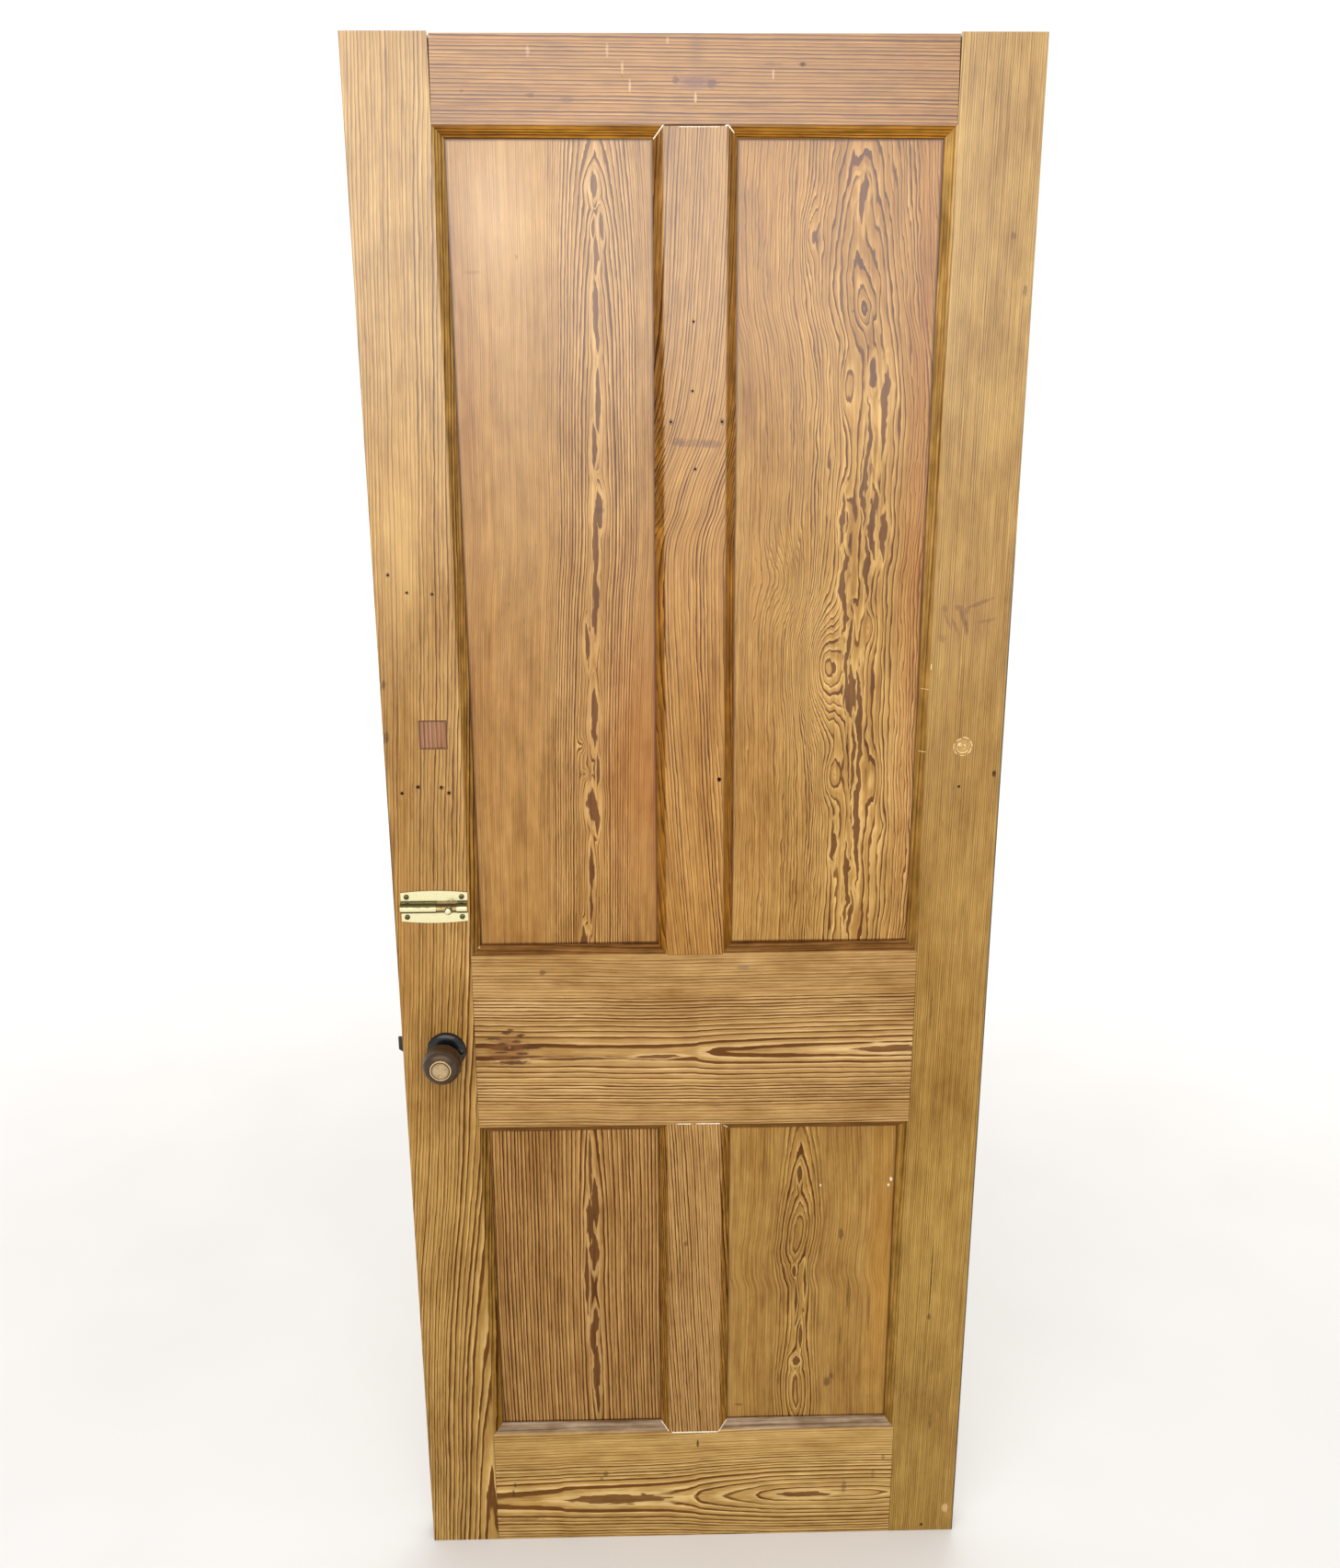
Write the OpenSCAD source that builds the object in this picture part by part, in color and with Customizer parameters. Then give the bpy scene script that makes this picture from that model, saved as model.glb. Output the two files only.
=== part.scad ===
// Solid wood interior door leaf: four flat panels in a frame with a mitred bevel, a knob latch and
// a small barrel bolt. Millimetres, +Z up, +X to the right seen from the front, the front at -Y.
// The origin is the middle of the bottom edge.

/* [Leaf] */
// Width of the leaf over both stiles
door_w = 762; // [690:1:860]
// Height of the leaf
door_h = 1981; // [1900:1:2130]
// Thickness of stiles, rails and muntins
door_t = 40; // [38:0.5:46]
// Face width of each stile
stile_w = 94; // [91:1:115]
// Face height of the top rail, measured from the top of the leaf
top_rail_h = 91; // [80:1:120]
// Height of the lock rail's lower face edge
lock_rail_z = 675; // [600:1:760]
// Face height of the lock rail
lock_rail_h = 243; // [230:1:280]
// Face height of the bottom rail
bottom_rail_h = 182; // [165:1:200]
// Face width of both muntins
muntin_w = 70; // [60:1:100]
// How far the top rail's upper edge lies below the tops of the stiles
top_rail_drop = 2; // [0:0.5:4]
// Softened outer corner of the stiles
arris = 1; // [0.5:0.1:2]

/* [Bevel and panels] */
// Width of the bevel round each panel, on the face
bevel_w = 12; // [11.5:0.5:16]
// Flat lip between the bevel and the panel
lip = 2.3; // [1.5:0.1:3.5]
// Thickness of the four panels
panel_t = 14; // [10:0.5:16]
// Play between a panel and each side of its groove
panel_play = 0.2; // [0.1:0.05:0.5]
// Depth of the panel groove from the sight edge
groove_d = 11; // [8:0.5:11]
// Room left for a panel to swell at the bottom of its groove
panel_room = 1.5; // [0.5:0.1:3]

/* [Joints] */
// Thickness of all tenons
tenon_t = 13; // [10:0.5:14]
// Height of the top rail's tenon
top_tenon_h = 45; // [35:1:50]
// Height of each of the lock rail's twin tenons
lock_tenon_h = 56; // [45:1:58]
// Height of each of the bottom rail's twin tenons
bottom_tenon_h = 52; // [40:1:56]
// Distance from a rail's moulded edge to its tenon
tenon_set = 10; // [8:0.5:12]
// Height of the lowest tenon above the bottom edge
tenon_foot = 28; // [24:1:34]
// Length of the wedges
wedge_len = 62; // [50:1:75]
// Thick end of a wedge
wedge_end = 5; // [3:0.5:5.5]
// Glue line between joined pieces
glue = 0.1; // [0.05:0.05:0.2]
// Gap at the shoulders of rails and muntins
shoulder_gap = 0.3; // [0.1:0.1:0.6]
// Open gap at the upper end of the top rail's shoulders
top_shoulder_gap = 1.7; // [0.5:0.1:2.5]
// Open gap above the upper muntin
muntin_top_gap = 1.2; // [0.3:0.1:1.8]
// Width of the muntins' stub tenons
stub_w = 42; // [30:1:50]
// Length of the muntins' stub tenons
stub_d = 28; // [20:1:34]

/* [Square patch] */
// Width of the patch
patch_w = 34; // [26:1:40]
// Height of the patch
patch_h = 36; // [26:1:44]
// Depth of the patch
patch_d = 8; // [5:0.5:12]
// Middle of the patch from the edge of the leaf
patch_in = 61; // [56:1:64]
// Height of the middle of the patch
patch_z = 1211; // [1150:1:1400]

/* [Hinge edge] */
// Length of the butt hinges
hinge_len = 100; // [75:1:110]
// Width of the hinge recess, open at the back
hinge_w = 30; // [28:1:32]
// Depth of the hinge recess
hinge_d = 3; // [2:0.25:4]
// From the top of the leaf to the upper recess
hinge_top = 150; // [140:1:200]
// From the bottom edge to the lower recess
hinge_foot = 225; // [215:1:260]
// Spacing of the outer two screws of a hinge
hinge_outer = 76; // [56:1:80]
// Spacing of the inner two screws of a hinge
hinge_inner = 28; // [20:1:36]
// Distance between the two rows of hinge screws
hinge_zigzag = 10; // [6:1:12]
// Radius of the hinge screw holes
hinge_hole_r = 2; // [1.5:0.1:2.5]
// Depth of the hinge screw holes
hinge_hole_d = 28; // [20:1:32]

/* [Knobs] */
// Distance of the spindle from the edge of the leaf
backset = 57; // [56:0.5:60]
// Height of the spindle above the lock rail's lower edge
handle_up = 113; // [110:1:130]
// Radius of the roses
rose_r = 25.5; // [24:0.5:28]
// How far a rose stands out
rose_h = 9.5; // [8.5:0.5:11]
// Largest radius of the knobs
knob_r = 25; // [23:0.5:29]
// How far a knob's front ring stands out from the face
knob_out = 58; // [56:0.5:64]
// Radius of a knob's neck
neck_r = 8.5; // [8:0.1:9.5]
// Radius of the brass disc in the front of each knob
cap_r = 11; // [10:0.5:13]
// Side of the square spindle
spindle_s = 8; // [7.5:0.1:8.2]
// Running clearance round turning and sliding pieces
run = 0.25; // [0.15:0.05:0.3]

/* [Latch] */
// How far the latch bolt sticks out of the edge
latch_out = 9.6; // [8:0.1:10]
// Height of the latch bolt
latch_h = 17.5; // [15:0.5:18]
// Thickness of the latch bolt
latch_t = 10.4; // [9:0.1:10.5]
// Outside thickness of the latch case
case_t = 14; // [13.8:0.1:15]
// Height of the latch case
case_h = 48; // [47:0.5:50]
// How far the case goes on behind the spindle
case_back = 27; // [25:0.5:28]
// Sheet thickness of the case
case_wall = 1.5; // [1:0.1:1.6]
// Length of the forend plate
forend_h = 72; // [70:0.5:74]
// Width of the forend plate
forend_w = 22; // [20:0.5:24]
// Thickness of the forend plate
forend_t = 2.5; // [2:0.1:3]
// How far the forend plate stands proud of the edge
forend_proud = 1.2; // [0.4:0.1:1.5]
// Length of the follower's horn from the spindle's axis
horn_r = 14; // [13:0.1:14]

/* [Barrel bolt] */
// Length of the bolt plate
plate_w = 84; // [78:1:86]
// Height of the bolt plate at its middle
plate_h = 43; // [41:0.5:46]
// Height of the bolt plate at its ends
plate_end_h = 38; // [37:0.5:40]
// Thickness of the bolt plate
plate_t = 1.2; // [0.8:0.1:1.6]
// Middle of the plate from the edge of the leaf
plate_in = 51.5; // [49:0.5:52]
// Height of the plate's middle above the lock rail's upper edge
plate_up = 70; // [60:1:120]
// Gap between the two sleeves, where the small knob runs
sleeve_gap = 26; // [25:0.5:30]
// Length of the right sleeve
sleeve_r = 13; // [12:0.5:15]
// Wall of the sleeves
sleeve_wall = 1.2; // [0.8:0.1:1.5]
// Radius of the rounded top of the shoot
shoot_r = 5.5; // [5:0.1:6]
// Height of the shoot's straight sides
shoot_side = 2.5; // [2:0.1:3.5]
// Distance of the shoot's small knob from the right sleeve
knob_gap = 9.5; // [9:0.25:11]
// Distance of the plate's screws from its ends
plate_screw_in = 7.25; // [6:0.25:8]
// Distance of the plate's screws from its long edges, at the ends
plate_screw_edge = 5.5; // [5:0.25:6]

/* [Hidden] */
$fn = 72;
eps = 1;
ft = door_t / 2;
hw = door_w / 2;
// face edges of stiles and muntins
sx = hw - stile_w;
mx = muntin_w / 2;
bay_w = sx - mx;
// face edges of the rails
top_z = door_h - top_rail_h;
lock_top = lock_rail_z + lock_rail_h;
upper_h = top_z - lock_top;
lower_h = lock_rail_z - bottom_rail_h;
groove_t = panel_t + 2 * panel_play;
bevel_d = (door_t - groove_t) / 2 - lip;
panel_in = groove_d - panel_room;
// lower end and height of each through tenon
tenons_top = [[top_z + tenon_set, top_tenon_h]];
tenons_lock = [
    [lock_rail_z + tenon_set, lock_tenon_h],
    [lock_top - tenon_set - lock_tenon_h, lock_tenon_h]
];
tenons_bottom = [
    [tenon_foot, bottom_tenon_h],
    [bottom_rail_h - tenon_set - bottom_tenon_h, bottom_tenon_h]
];
tenons = concat(tenons_top, tenons_lock, tenons_bottom);
// spindle axis
hx = -hw + backset;
hz = lock_rail_z + handle_up;
// latch, measured from the spindle axis
forend_in = forend_t - forend_proud;
edge_x = -backset;
case_x0 = edge_x + forend_in;
case_x1 = case_back;
in_x1 = case_x1 - case_wall;
in_y = case_t / 2 - case_wall;
in_z = case_h / 2 - case_wall;
hub_r = 8;
trunnion_r = spindle_s * 0.82;
horn_t = 4.4;
horn_gap = 0.6;
fork_t = 6;
fork_x0 = edge_x + 9;
fork_x1 = fork_x0 + 6;
bar_z0 = horn_r + 1.2;
bar_z1 = bar_z0 + 3.3;
talon_x = horn_t / 2 + horn_gap;
talon_w = 6.2;
talon_z = hub_r + 0.6;
spring_z = -16.2;
spring_x0 = -14;
spring_r = 2.75;
wire_r = 0.45;
spigot_r = 1.9;
post_r = 2.2;
posts = [[edge_x + 4.8, -18], [in_x1 - 3.3, 18.2]];
forend_screw = forend_h / 2 - 6;
forend_screw_len = 20;
// roses and knobs, measured out from the face
rose_screw_at = rose_r - 6.2;
rose_seat = 3;
rose_screw_r = 1.6;
rose_screw_len = rose_seat + 9.5;
neck_h0 = 2;
grub_h = rose_h + 4.2;
body_h0 = rose_h + 10;
body_mid = body_h0 + (knob_out - body_h0) * 0.53;
cap_floor = knob_out - 3.5;
// barrel bolt
px = -hw + plate_in;
pz = lock_top + plate_up;
sleeve_l = plate_w - sleeve_r - sleeve_gap;
shoot_knob = plate_w - sleeve_r - knob_gap;
plate_screw_x = plate_w - 2 * plate_screw_in;
plate_screw_z = plate_end_h - 2 * plate_screw_edge;
plate_screw_len = 14;
shoot_h = shoot_side + shoot_r;
shoot_y = plate_t + 0.2;
sleeve_in = shoot_r + run;
sleeve_out = sleeve_in + sleeve_wall;
hinge_y = ft - hinge_w / 2;
// middles of the two hinges
hinges = [door_h - hinge_top - hinge_len / 2, hinge_foot + hinge_len / 2];

// Upright outline in X and Z, given thickness t in Y, centred on Y = 0
module upright(points, t) {
    rotate([90, 0, 0])
        linear_extrude(t, center = true)
            polygon(points);
}

// Bevelled edge with its panel groove, along +Z, standing out to +X, with mitred ends
module bevel(len) {
    difference() {
        intersection() {
            linear_extrude(len)
                polygon([
                    [-eps, -ft], [0, -ft], [bevel_w, -ft + bevel_d],
                    [bevel_w, ft - bevel_d], [0, ft], [-eps, ft]
                ]);
            upright([
                [-eps, 0], [0, 0], [bevel_w, bevel_w],
                [bevel_w, len - bevel_w], [0, len], [-eps, len]
            ], door_t);
        }
        translate([bevel_w - groove_d, -groove_t / 2, -eps])
            cube([groove_d + eps, groove_t, len + 2 * eps]);
    }
}

// The same edge along +X on top of a rail, and under a rail
module bevel_up(len) {
    rotate([180, -90, 0])
        bevel(len);
}

module bevel_down(len) {
    rotate([0, 90, 0])
        bevel(len);
}

// Both bevelled edges of a rail, left and right of the muntin
module bevels_on_rail(z, up) {
    for (x = [-sx, mx])
        translate([x, 0, z])
            if (up)
                bevel_up(bay_w);
            else
                bevel_down(bay_w);
}

function flare(u) = wedge_end * (wedge_len - u) / wedge_len;

// Through mortises of a stile, widening towards the outer edge for the wedges
module through_mortises() {
    for (t = tenons) {
        z0 = t[0] - glue;
        z1 = t[0] + t[1] + glue;
        upright([
            [stile_w + eps, z0], [wedge_len, z0], [-eps, z0 - flare(-eps)],
            [-eps, z1 + flare(-eps)], [wedge_len, z1], [stile_w + eps, z1]
        ], tenon_t + 2 * glue);
    }
}

// A stile lying on its outer edge at X = 0, with its bevelled edges and mortises
module stile_wood() {
    difference() {
        union() {
            linear_extrude(door_h)
                polygon([
                    [0, -ft + arris], [arris, -ft], [stile_w, -ft],
                    [stile_w, ft], [arris, ft], [0, ft - arris]
                ]);
            translate([stile_w, 0, lock_top])
                bevel(upper_h);
            translate([stile_w, 0, bottom_rail_h])
                bevel(lower_h);
        }
        through_mortises();
    }
}

// Two wedges for each tenon of one stile, blunt at the thin end
module wedge_set() {
    blunt = 0.9 * wedge_len;
    for (t = tenons) {
        z0 = t[0] - glue / 2;
        z1 = t[0] + t[1] + glue / 2;
        upright([[0, z1], [blunt, z1], [blunt, z1 + flare(blunt)], [0, z1 + wedge_end]], tenon_t);
        upright([[0, z0], [0, z0 - wedge_end], [blunt, z0 - flare(blunt)], [blunt, z0]], tenon_t);
    }
}

// A rail between the stiles, with its tenons; the shoulders may open towards the top
module rail_wood(z0, z1, gap_low, gap_high, rows) {
    upright([
        [-sx + gap_low, z0], [sx - gap_low, z0],
        [sx - gap_high, z1], [-sx + gap_high, z1]
    ], door_t);
    for (t = rows)
        translate([-hw, -tenon_t / 2, t[0]])
            cube([door_w, tenon_t, t[1]]);
}

// Room for a muntin's stub tenon, going up from the rail's edge
module stub_mortise() {
    translate([-stub_w / 2 - glue, -tenon_t / 2 - glue, -eps])
        cube([stub_w + 2 * glue, tenon_t + 2 * glue, stub_d + 2 * eps]);
}

// A muntin between two face edges, with its stub tenons
module muntin_wood(z0, z1, gap_top) {
    translate([-mx, -ft, z0 + shoulder_gap])
        cube([muntin_w, door_t, z1 - z0 - shoulder_gap - gap_top]);
    translate([-stub_w / 2, -tenon_t / 2, z0 - stub_d])
        cube([stub_w, tenon_t, z1 - z0 + 2 * stub_d]);
    translate([mx, 0, z0])
        bevel(z1 - z0);
    translate([-mx, 0, z0])
        mirror([1, 0, 0])
            bevel(z1 - z0);
}

// A panel for the bay that starts at face edge x, between two face edges of the rails
module panel_wood(x, z0, z1) {
    cut = bevel_w - panel_in;
    translate([x + cut, -panel_t / 2, z0 + cut])
        cube([bay_w - 2 * cut, panel_t, z1 - z0 - 2 * cut]);
}

// Turns what stands on +Z to stand out from the front face, or from the back face
module out_front() {
    translate([0, -ft, 0])
        rotate([90, 0, 0])
            children();
}

module out_back() {
    translate([0, ft, 0])
        rotate([-90, 0, 0])
            children();
}

// Round-headed slotted screw, its head's underside at Z = 0
module round_screw(head_r, head_h, shank_r, len) {
    difference() {
        union() {
            rotate_extrude()
                polygon([
                    [0, -len], [shank_r, -len + shank_r], [shank_r, 0], [head_r, 0],
                    [head_r, head_h * 0.35], [head_r * 0.85, head_h * 0.75],
                    [head_r * 0.5, head_h], [0, head_h]
                ]);
        }
        translate([-head_r - eps, -0.4, head_h * 0.55])
            cube([2 * head_r + 2 * eps, 0.8, head_h]);
    }
}

// Countersunk slotted screw, the flat of its head at Z = 0
module flat_screw(head_r, shank_r, len) {
    difference() {
        rotate_extrude()
            polygon([
                [0, 0], [head_r, 0], [shank_r, shank_r - head_r],
                [shank_r, -len + shank_r], [0, -len]
            ]);
        translate([-head_r - eps, -0.45, -0.8])
            cube([2 * head_r + 2 * eps, 0.9, eps + 0.8]);
    }
}

// Hole for a countersunk screw
module flat_screw_hole(head_r, shank_r, len) {
    rotate_extrude()
        polygon([
            [0, eps], [head_r + eps, eps], [shank_r, shank_r - head_r],
            [shank_r, -len], [0, -len]
        ]);
}

// The two screws of a rose, left and right of the neck
module rose_screw_places() {
    for (s = [-1, 1])
        translate([s * rose_screw_at, 0, 0])
            children();
}

// Domed round rose, standing on its back
module rose() {
    collar = neck_r + 3.2;
    difference() {
        rotate_extrude()
            polygon(concat(
                [[neck_r + run, 0], [rose_r, 0], [rose_r, 1.4]],
                [for (k = [1 : 9])
                    let (a = k * 10)
                    [collar + (rose_r - collar) * cos(a), 1.4 + (rose_h - 3.2) * sin(a)]],
                [[collar, rose_h], [neck_r + run, rose_h]]
            ));
        rose_screw_places()
            translate([0, 0, rose_seat])
                cylinder(r = 3.3, h = rose_h);
        rose_screw_places()
            translate([0, 0, -eps])
                cylinder(r = rose_screw_r + 0.1, h = rose_h);
    }
}

module rose_screws() {
    rose_screw_places()
        translate([0, 0, rose_seat])
            round_screw(3, 2.4, rose_screw_r, rose_screw_len);
}

// Hollow bun-shaped knob with a neck, its axis on Z, Z = 0 at the door's face
module knob() {
    wall = 3;
    front = knob_out - 1.2;
    ring_r = cap_r + 3.4;
    back_r = neck_r + 2;
    shank_top = cap_floor - 6;
    difference() {
        rotate_extrude()
            polygon(concat(
                [[0, neck_h0], [neck_r, neck_h0], [neck_r, body_h0 - 3], [back_r, body_h0 - 1.5]],
                [for (k = [0 : 9])
                    let (a = -90 + k * 10)
                    [back_r + (knob_r - back_r) * cos(a), body_mid + (body_mid - body_h0) * sin(a)]],
                [for (k = [1 : 9])
                    let (a = k * 10)
                    [ring_r + (knob_r - ring_r) * cos(a), body_mid + (front - body_mid) * sin(a)]],
                [[ring_r - 0.4, front - 0.7], [ring_r - 1, front - 0.7], [ring_r - 1, knob_out - 0.3],
                    [ring_r - 1.3, knob_out], [cap_r + 1.3, knob_out], [cap_r + 1, knob_out - 0.3],
                    [cap_r + 1, knob_out - 1.4], [cap_r + 0.15, knob_out - 1.4],
                    [cap_r + 0.15, cap_floor], [0, cap_floor]]
            ));
        // hollow round the shank, open under the disc
        rotate_extrude()
            polygon(concat(
                [[0, cap_floor + eps], [0, shank_top], [neck_r - 1, shank_top],
                    [neck_r - 1, body_h0 + wall]],
                [for (k = [0 : 3 : 9])
                    let (a = -90 + k * 10)
                    [back_r + (knob_r - wall - back_r) * cos(a),
                        body_mid + (body_mid - body_h0 - wall) * sin(a)]],
                [for (k = [3 : 3 : 9])
                    let (a = k * 10)
                    [cap_r + (knob_r - wall - cap_r) * cos(a),
                        body_mid + (cap_floor - wall - body_mid) * sin(a)]],
                [[cap_r - 3, cap_floor - wall], [cap_r - 3, cap_floor + eps]]
            ));
        // square socket for the spindle
        translate([-spindle_s / 2 - 0.05, -spindle_s / 2 - 0.05, neck_h0 - eps])
            cube([spindle_s + 0.1, spindle_s + 0.1, shank_top - neck_h0 - 2]);
        // threaded hole for the grub screw, on the underside of the neck
        translate([0, 0, grub_h])
            rotate([90, 0, 0])
                translate([0, 0, 1])
                    cylinder(r = 2.05, h = neck_r);
    }
}

// Brass disc in the knob's front, with a raised rim and a slightly sunken middle
module knob_cap() {
    rotate_extrude()
        polygon([
            [0, cap_floor], [cap_r, cap_floor], [cap_r, knob_out], [cap_r - 0.4, knob_out + 0.4],
            [cap_r - 1.3, knob_out + 0.4], [cap_r - 1.9, knob_out - 0.3],
            [cap_r * 0.4, knob_out - 0.6], [0, knob_out - 0.7]
        ]);
}

module grub_screw() {
    translate([0, 0, grub_h])
        rotate([90, 0, 0])
            difference() {
                translate([0, 0, spindle_s / 2])
                    cylinder(r = 2, h = neck_r - spindle_s / 2 - 0.4);
                translate([0, 0, neck_r - 2.4])
                    cylinder(r = 1, h = 4, $fn = 6);
            }
}

// A screw hole into a stile's face for a round-headed screw
module pilot(r, depth) {
    translate([0, 0, -depth])
        cylinder(r = r, h = depth + eps);
}

module lock_stile() {
    color([0.80, 0.64, 0.42])
        difference() {
            translate([-hw, 0, 0])
                stile_wood();
            // square patch
            translate([-hw + patch_in - patch_w / 2 - glue, -ft - eps, patch_z - patch_h / 2 - glue])
                cube([patch_w + 2 * glue, patch_d + glue + eps, patch_h + 2 * glue]);
            // latch case, forend and spindle
            translate([hx + edge_x - eps, -case_t / 2 - 0.4, hz - case_h / 2 - 0.4])
                cube([case_x1 - edge_x + 0.5 + eps, case_t + 0.8, case_h + 0.8]);
            translate([hx + edge_x - eps, -forend_w / 2 - glue, hz - forend_h / 2 - glue])
                cube([forend_in + eps, forend_w + 2 * glue, forend_h + 2 * glue]);
            translate([hx, 0, hz])
                rotate([90, 0, 0])
                    cylinder(r = neck_r + 0.5, h = door_t + 2 * eps, center = true);
            translate([hx, 0, hz])
                latch_forend_screw_places()
                    pilot(2.05, forend_screw_len + 2);
            // screws of roses and bolt plate
            translate([hx, 0, hz]) {
                out_front()
                    rose_screw_places()
                        pilot(rose_screw_r + 0.05, rose_screw_len - rose_seat + 0.5);
                out_back()
                    rose_screw_places()
                        pilot(rose_screw_r + 0.05, rose_screw_len - rose_seat + 0.5);
            }
            bolt_plate_screw_places()
                pilot(1.75, plate_screw_len + 1);
        }
}

module hinge_stile() {
    color([0.77, 0.62, 0.42])
        difference() {
            translate([hw, 0, 0])
                mirror([1, 0, 0])
                    stile_wood();
            for (z = hinges) {
                translate([hw - hinge_d, ft - hinge_w, z - hinge_len / 2])
                    cube([hinge_d + eps, hinge_w + eps, hinge_len]);
                for (row = [[hinge_outer, 1], [hinge_inner, -1]], s = [-1, 1])
                    translate([hw - hinge_d, hinge_y + row[1] * hinge_zigzag / 2, z + s * row[0] / 2])
                        rotate([0, 90, 0])
                            pilot(hinge_hole_r, hinge_hole_d);
            }
        }
}

module top_rail() {
    color([0.79, 0.63, 0.49])
        difference() {
            union() {
                rail_wood(top_z, door_h - top_rail_drop, shoulder_gap, top_shoulder_gap, tenons_top);
                bevels_on_rail(top_z, false);
            }
            translate([0, 0, top_z])
                stub_mortise();
        }
}

module lock_rail() {
    color([0.70, 0.54, 0.33])
        difference() {
            union() {
                rail_wood(lock_rail_z, lock_top, shoulder_gap, shoulder_gap, tenons_lock);
                bevels_on_rail(lock_top, true);
                bevels_on_rail(lock_rail_z, false);
            }
            translate([0, 0, lock_top])
                mirror([0, 0, 1])
                    stub_mortise();
            translate([0, 0, lock_rail_z])
                stub_mortise();
        }
}

module bottom_rail() {
    color([0.68, 0.53, 0.31])
        difference() {
            union() {
                rail_wood(0, bottom_rail_h, shoulder_gap, shoulder_gap, tenons_bottom);
                bevels_on_rail(bottom_rail_h, true);
            }
            translate([0, 0, bottom_rail_h])
                mirror([0, 0, 1])
                    stub_mortise();
        }
}

module upper_muntin() {
    color([0.79, 0.63, 0.46])
        muntin_wood(lock_top, top_z, muntin_top_gap);
}

module lower_muntin() {
    color([0.65, 0.49, 0.29])
        muntin_wood(bottom_rail_h, lock_rail_z, shoulder_gap);
}

module upper_left_panel() {
    color([0.80, 0.64, 0.46])
        panel_wood(-sx, lock_top, top_z);
}

module upper_right_panel() {
    color([0.77, 0.59, 0.40])
        panel_wood(mx, lock_top, top_z);
}

module lower_left_panel() {
    color([0.61, 0.44, 0.25])
        panel_wood(-sx, bottom_rail_h, lock_rail_z);
}

module lower_right_panel() {
    color([0.65, 0.48, 0.25])
        panel_wood(mx, bottom_rail_h, lock_rail_z);
}

module lock_stile_wedges() {
    color([0.62, 0.46, 0.28])
        translate([-hw, 0, 0])
            wedge_set();
}

module hinge_stile_wedges() {
    color([0.62, 0.46, 0.28])
        translate([hw, 0, 0])
            mirror([1, 0, 0])
                wedge_set();
}

module square_patch() {
    color([0.55, 0.38, 0.27])
        translate([-hw + patch_in - patch_w / 2, -ft, patch_z - patch_h / 2])
            cube([patch_w, patch_d, patch_h]);
}

module front_rose() {
    color([0.10, 0.11, 0.12])
        translate([hx, 0, hz])
            out_front()
                rose();
}

module back_rose() {
    color([0.10, 0.11, 0.12])
        translate([hx, 0, hz])
            out_back()
                rose();
}

module front_rose_screws() {
    color([0.12, 0.12, 0.12])
        translate([hx, 0, hz])
            out_front()
                rose_screws();
}

module back_rose_screws() {
    color([0.12, 0.12, 0.12])
        translate([hx, 0, hz])
            out_back()
                rose_screws();
}

module front_knob() {
    color([0.30, 0.25, 0.21])
        translate([hx, 0, hz])
            out_front()
                knob();
}

module back_knob() {
    color([0.30, 0.25, 0.21])
        translate([hx, 0, hz])
            out_back()
                mirror([0, 1, 0])
                    knob();
}

module front_knob_cap() {
    color([0.69, 0.58, 0.42])
        translate([hx, 0, hz])
            out_front()
                knob_cap();
}

module back_knob_cap() {
    color([0.69, 0.58, 0.42])
        translate([hx, 0, hz])
            out_back()
                knob_cap();
}

module knob_grub_screws() {
    color([0.2, 0.2, 0.2])
        translate([hx, 0, hz]) {
            out_front()
                grub_screw();
            out_back()
                mirror([0, 1, 0])
                    grub_screw();
        }
}

module spindle() {
    half = ft + cap_floor - 9;
    color([0.55, 0.55, 0.55])
        translate([hx - spindle_s / 2, -half, hz - spindle_s / 2])
            cube([spindle_s, 2 * half, spindle_s]);
}

module latch_follower() {
    color([0.6, 0.52, 0.34])
        translate([hx, 0, hz])
            difference() {
                union() {
                    rotate([90, 0, 0])
                        cylinder(r = hub_r, h = 2 * in_y - 0.6, center = true);
                    rotate([90, 0, 0])
                        cylinder(r = trunnion_r, h = case_t, center = true);
                    translate([-horn_t / 2, -fork_t / 2, 0])
                        cube([horn_t, fork_t, horn_r]);
                }
                translate([-spindle_s / 2 - 0.05, -case_t, -spindle_s / 2 - 0.05])
                    cube([spindle_s + 0.1, 2 * case_t, spindle_s + 0.1]);
            }
}

// Latch bolt: a head bevelled on its closing side, and a fork round the follower
module latch_bolt() {
    tip = edge_x - latch_out;
    head_x1 = fork_x1 + 4;
    half = latch_t / 2;
    color([0.55, 0.47, 0.32])
        translate([hx, 0, hz])
            union() {
                translate([0, 0, -latch_h / 2])
                    linear_extrude(latch_h)
                        polygon([
                            [tip, half], [tip, half - 2.6], [tip + 7.2, -half],
                            [head_x1, -half], [head_x1, half]
                        ]);
                upright([
                    [fork_x0, bar_z1], [fork_x0, spring_z - 3.2], [spring_x0, spring_z - 3.2],
                    [spring_x0, spring_z + 3.2], [fork_x1, spring_z + 3.2], [fork_x1, bar_z0],
                    [talon_x, bar_z0], [talon_x, talon_z], [talon_x + talon_w, talon_z],
                    [talon_x + talon_w, bar_z1]
                ], fork_t);
                translate([spring_x0 - eps, 0, spring_z])
                    rotate([0, 90, 0])
                        cylinder(r = spigot_r, h = 5 + eps);
            }
}

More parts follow.
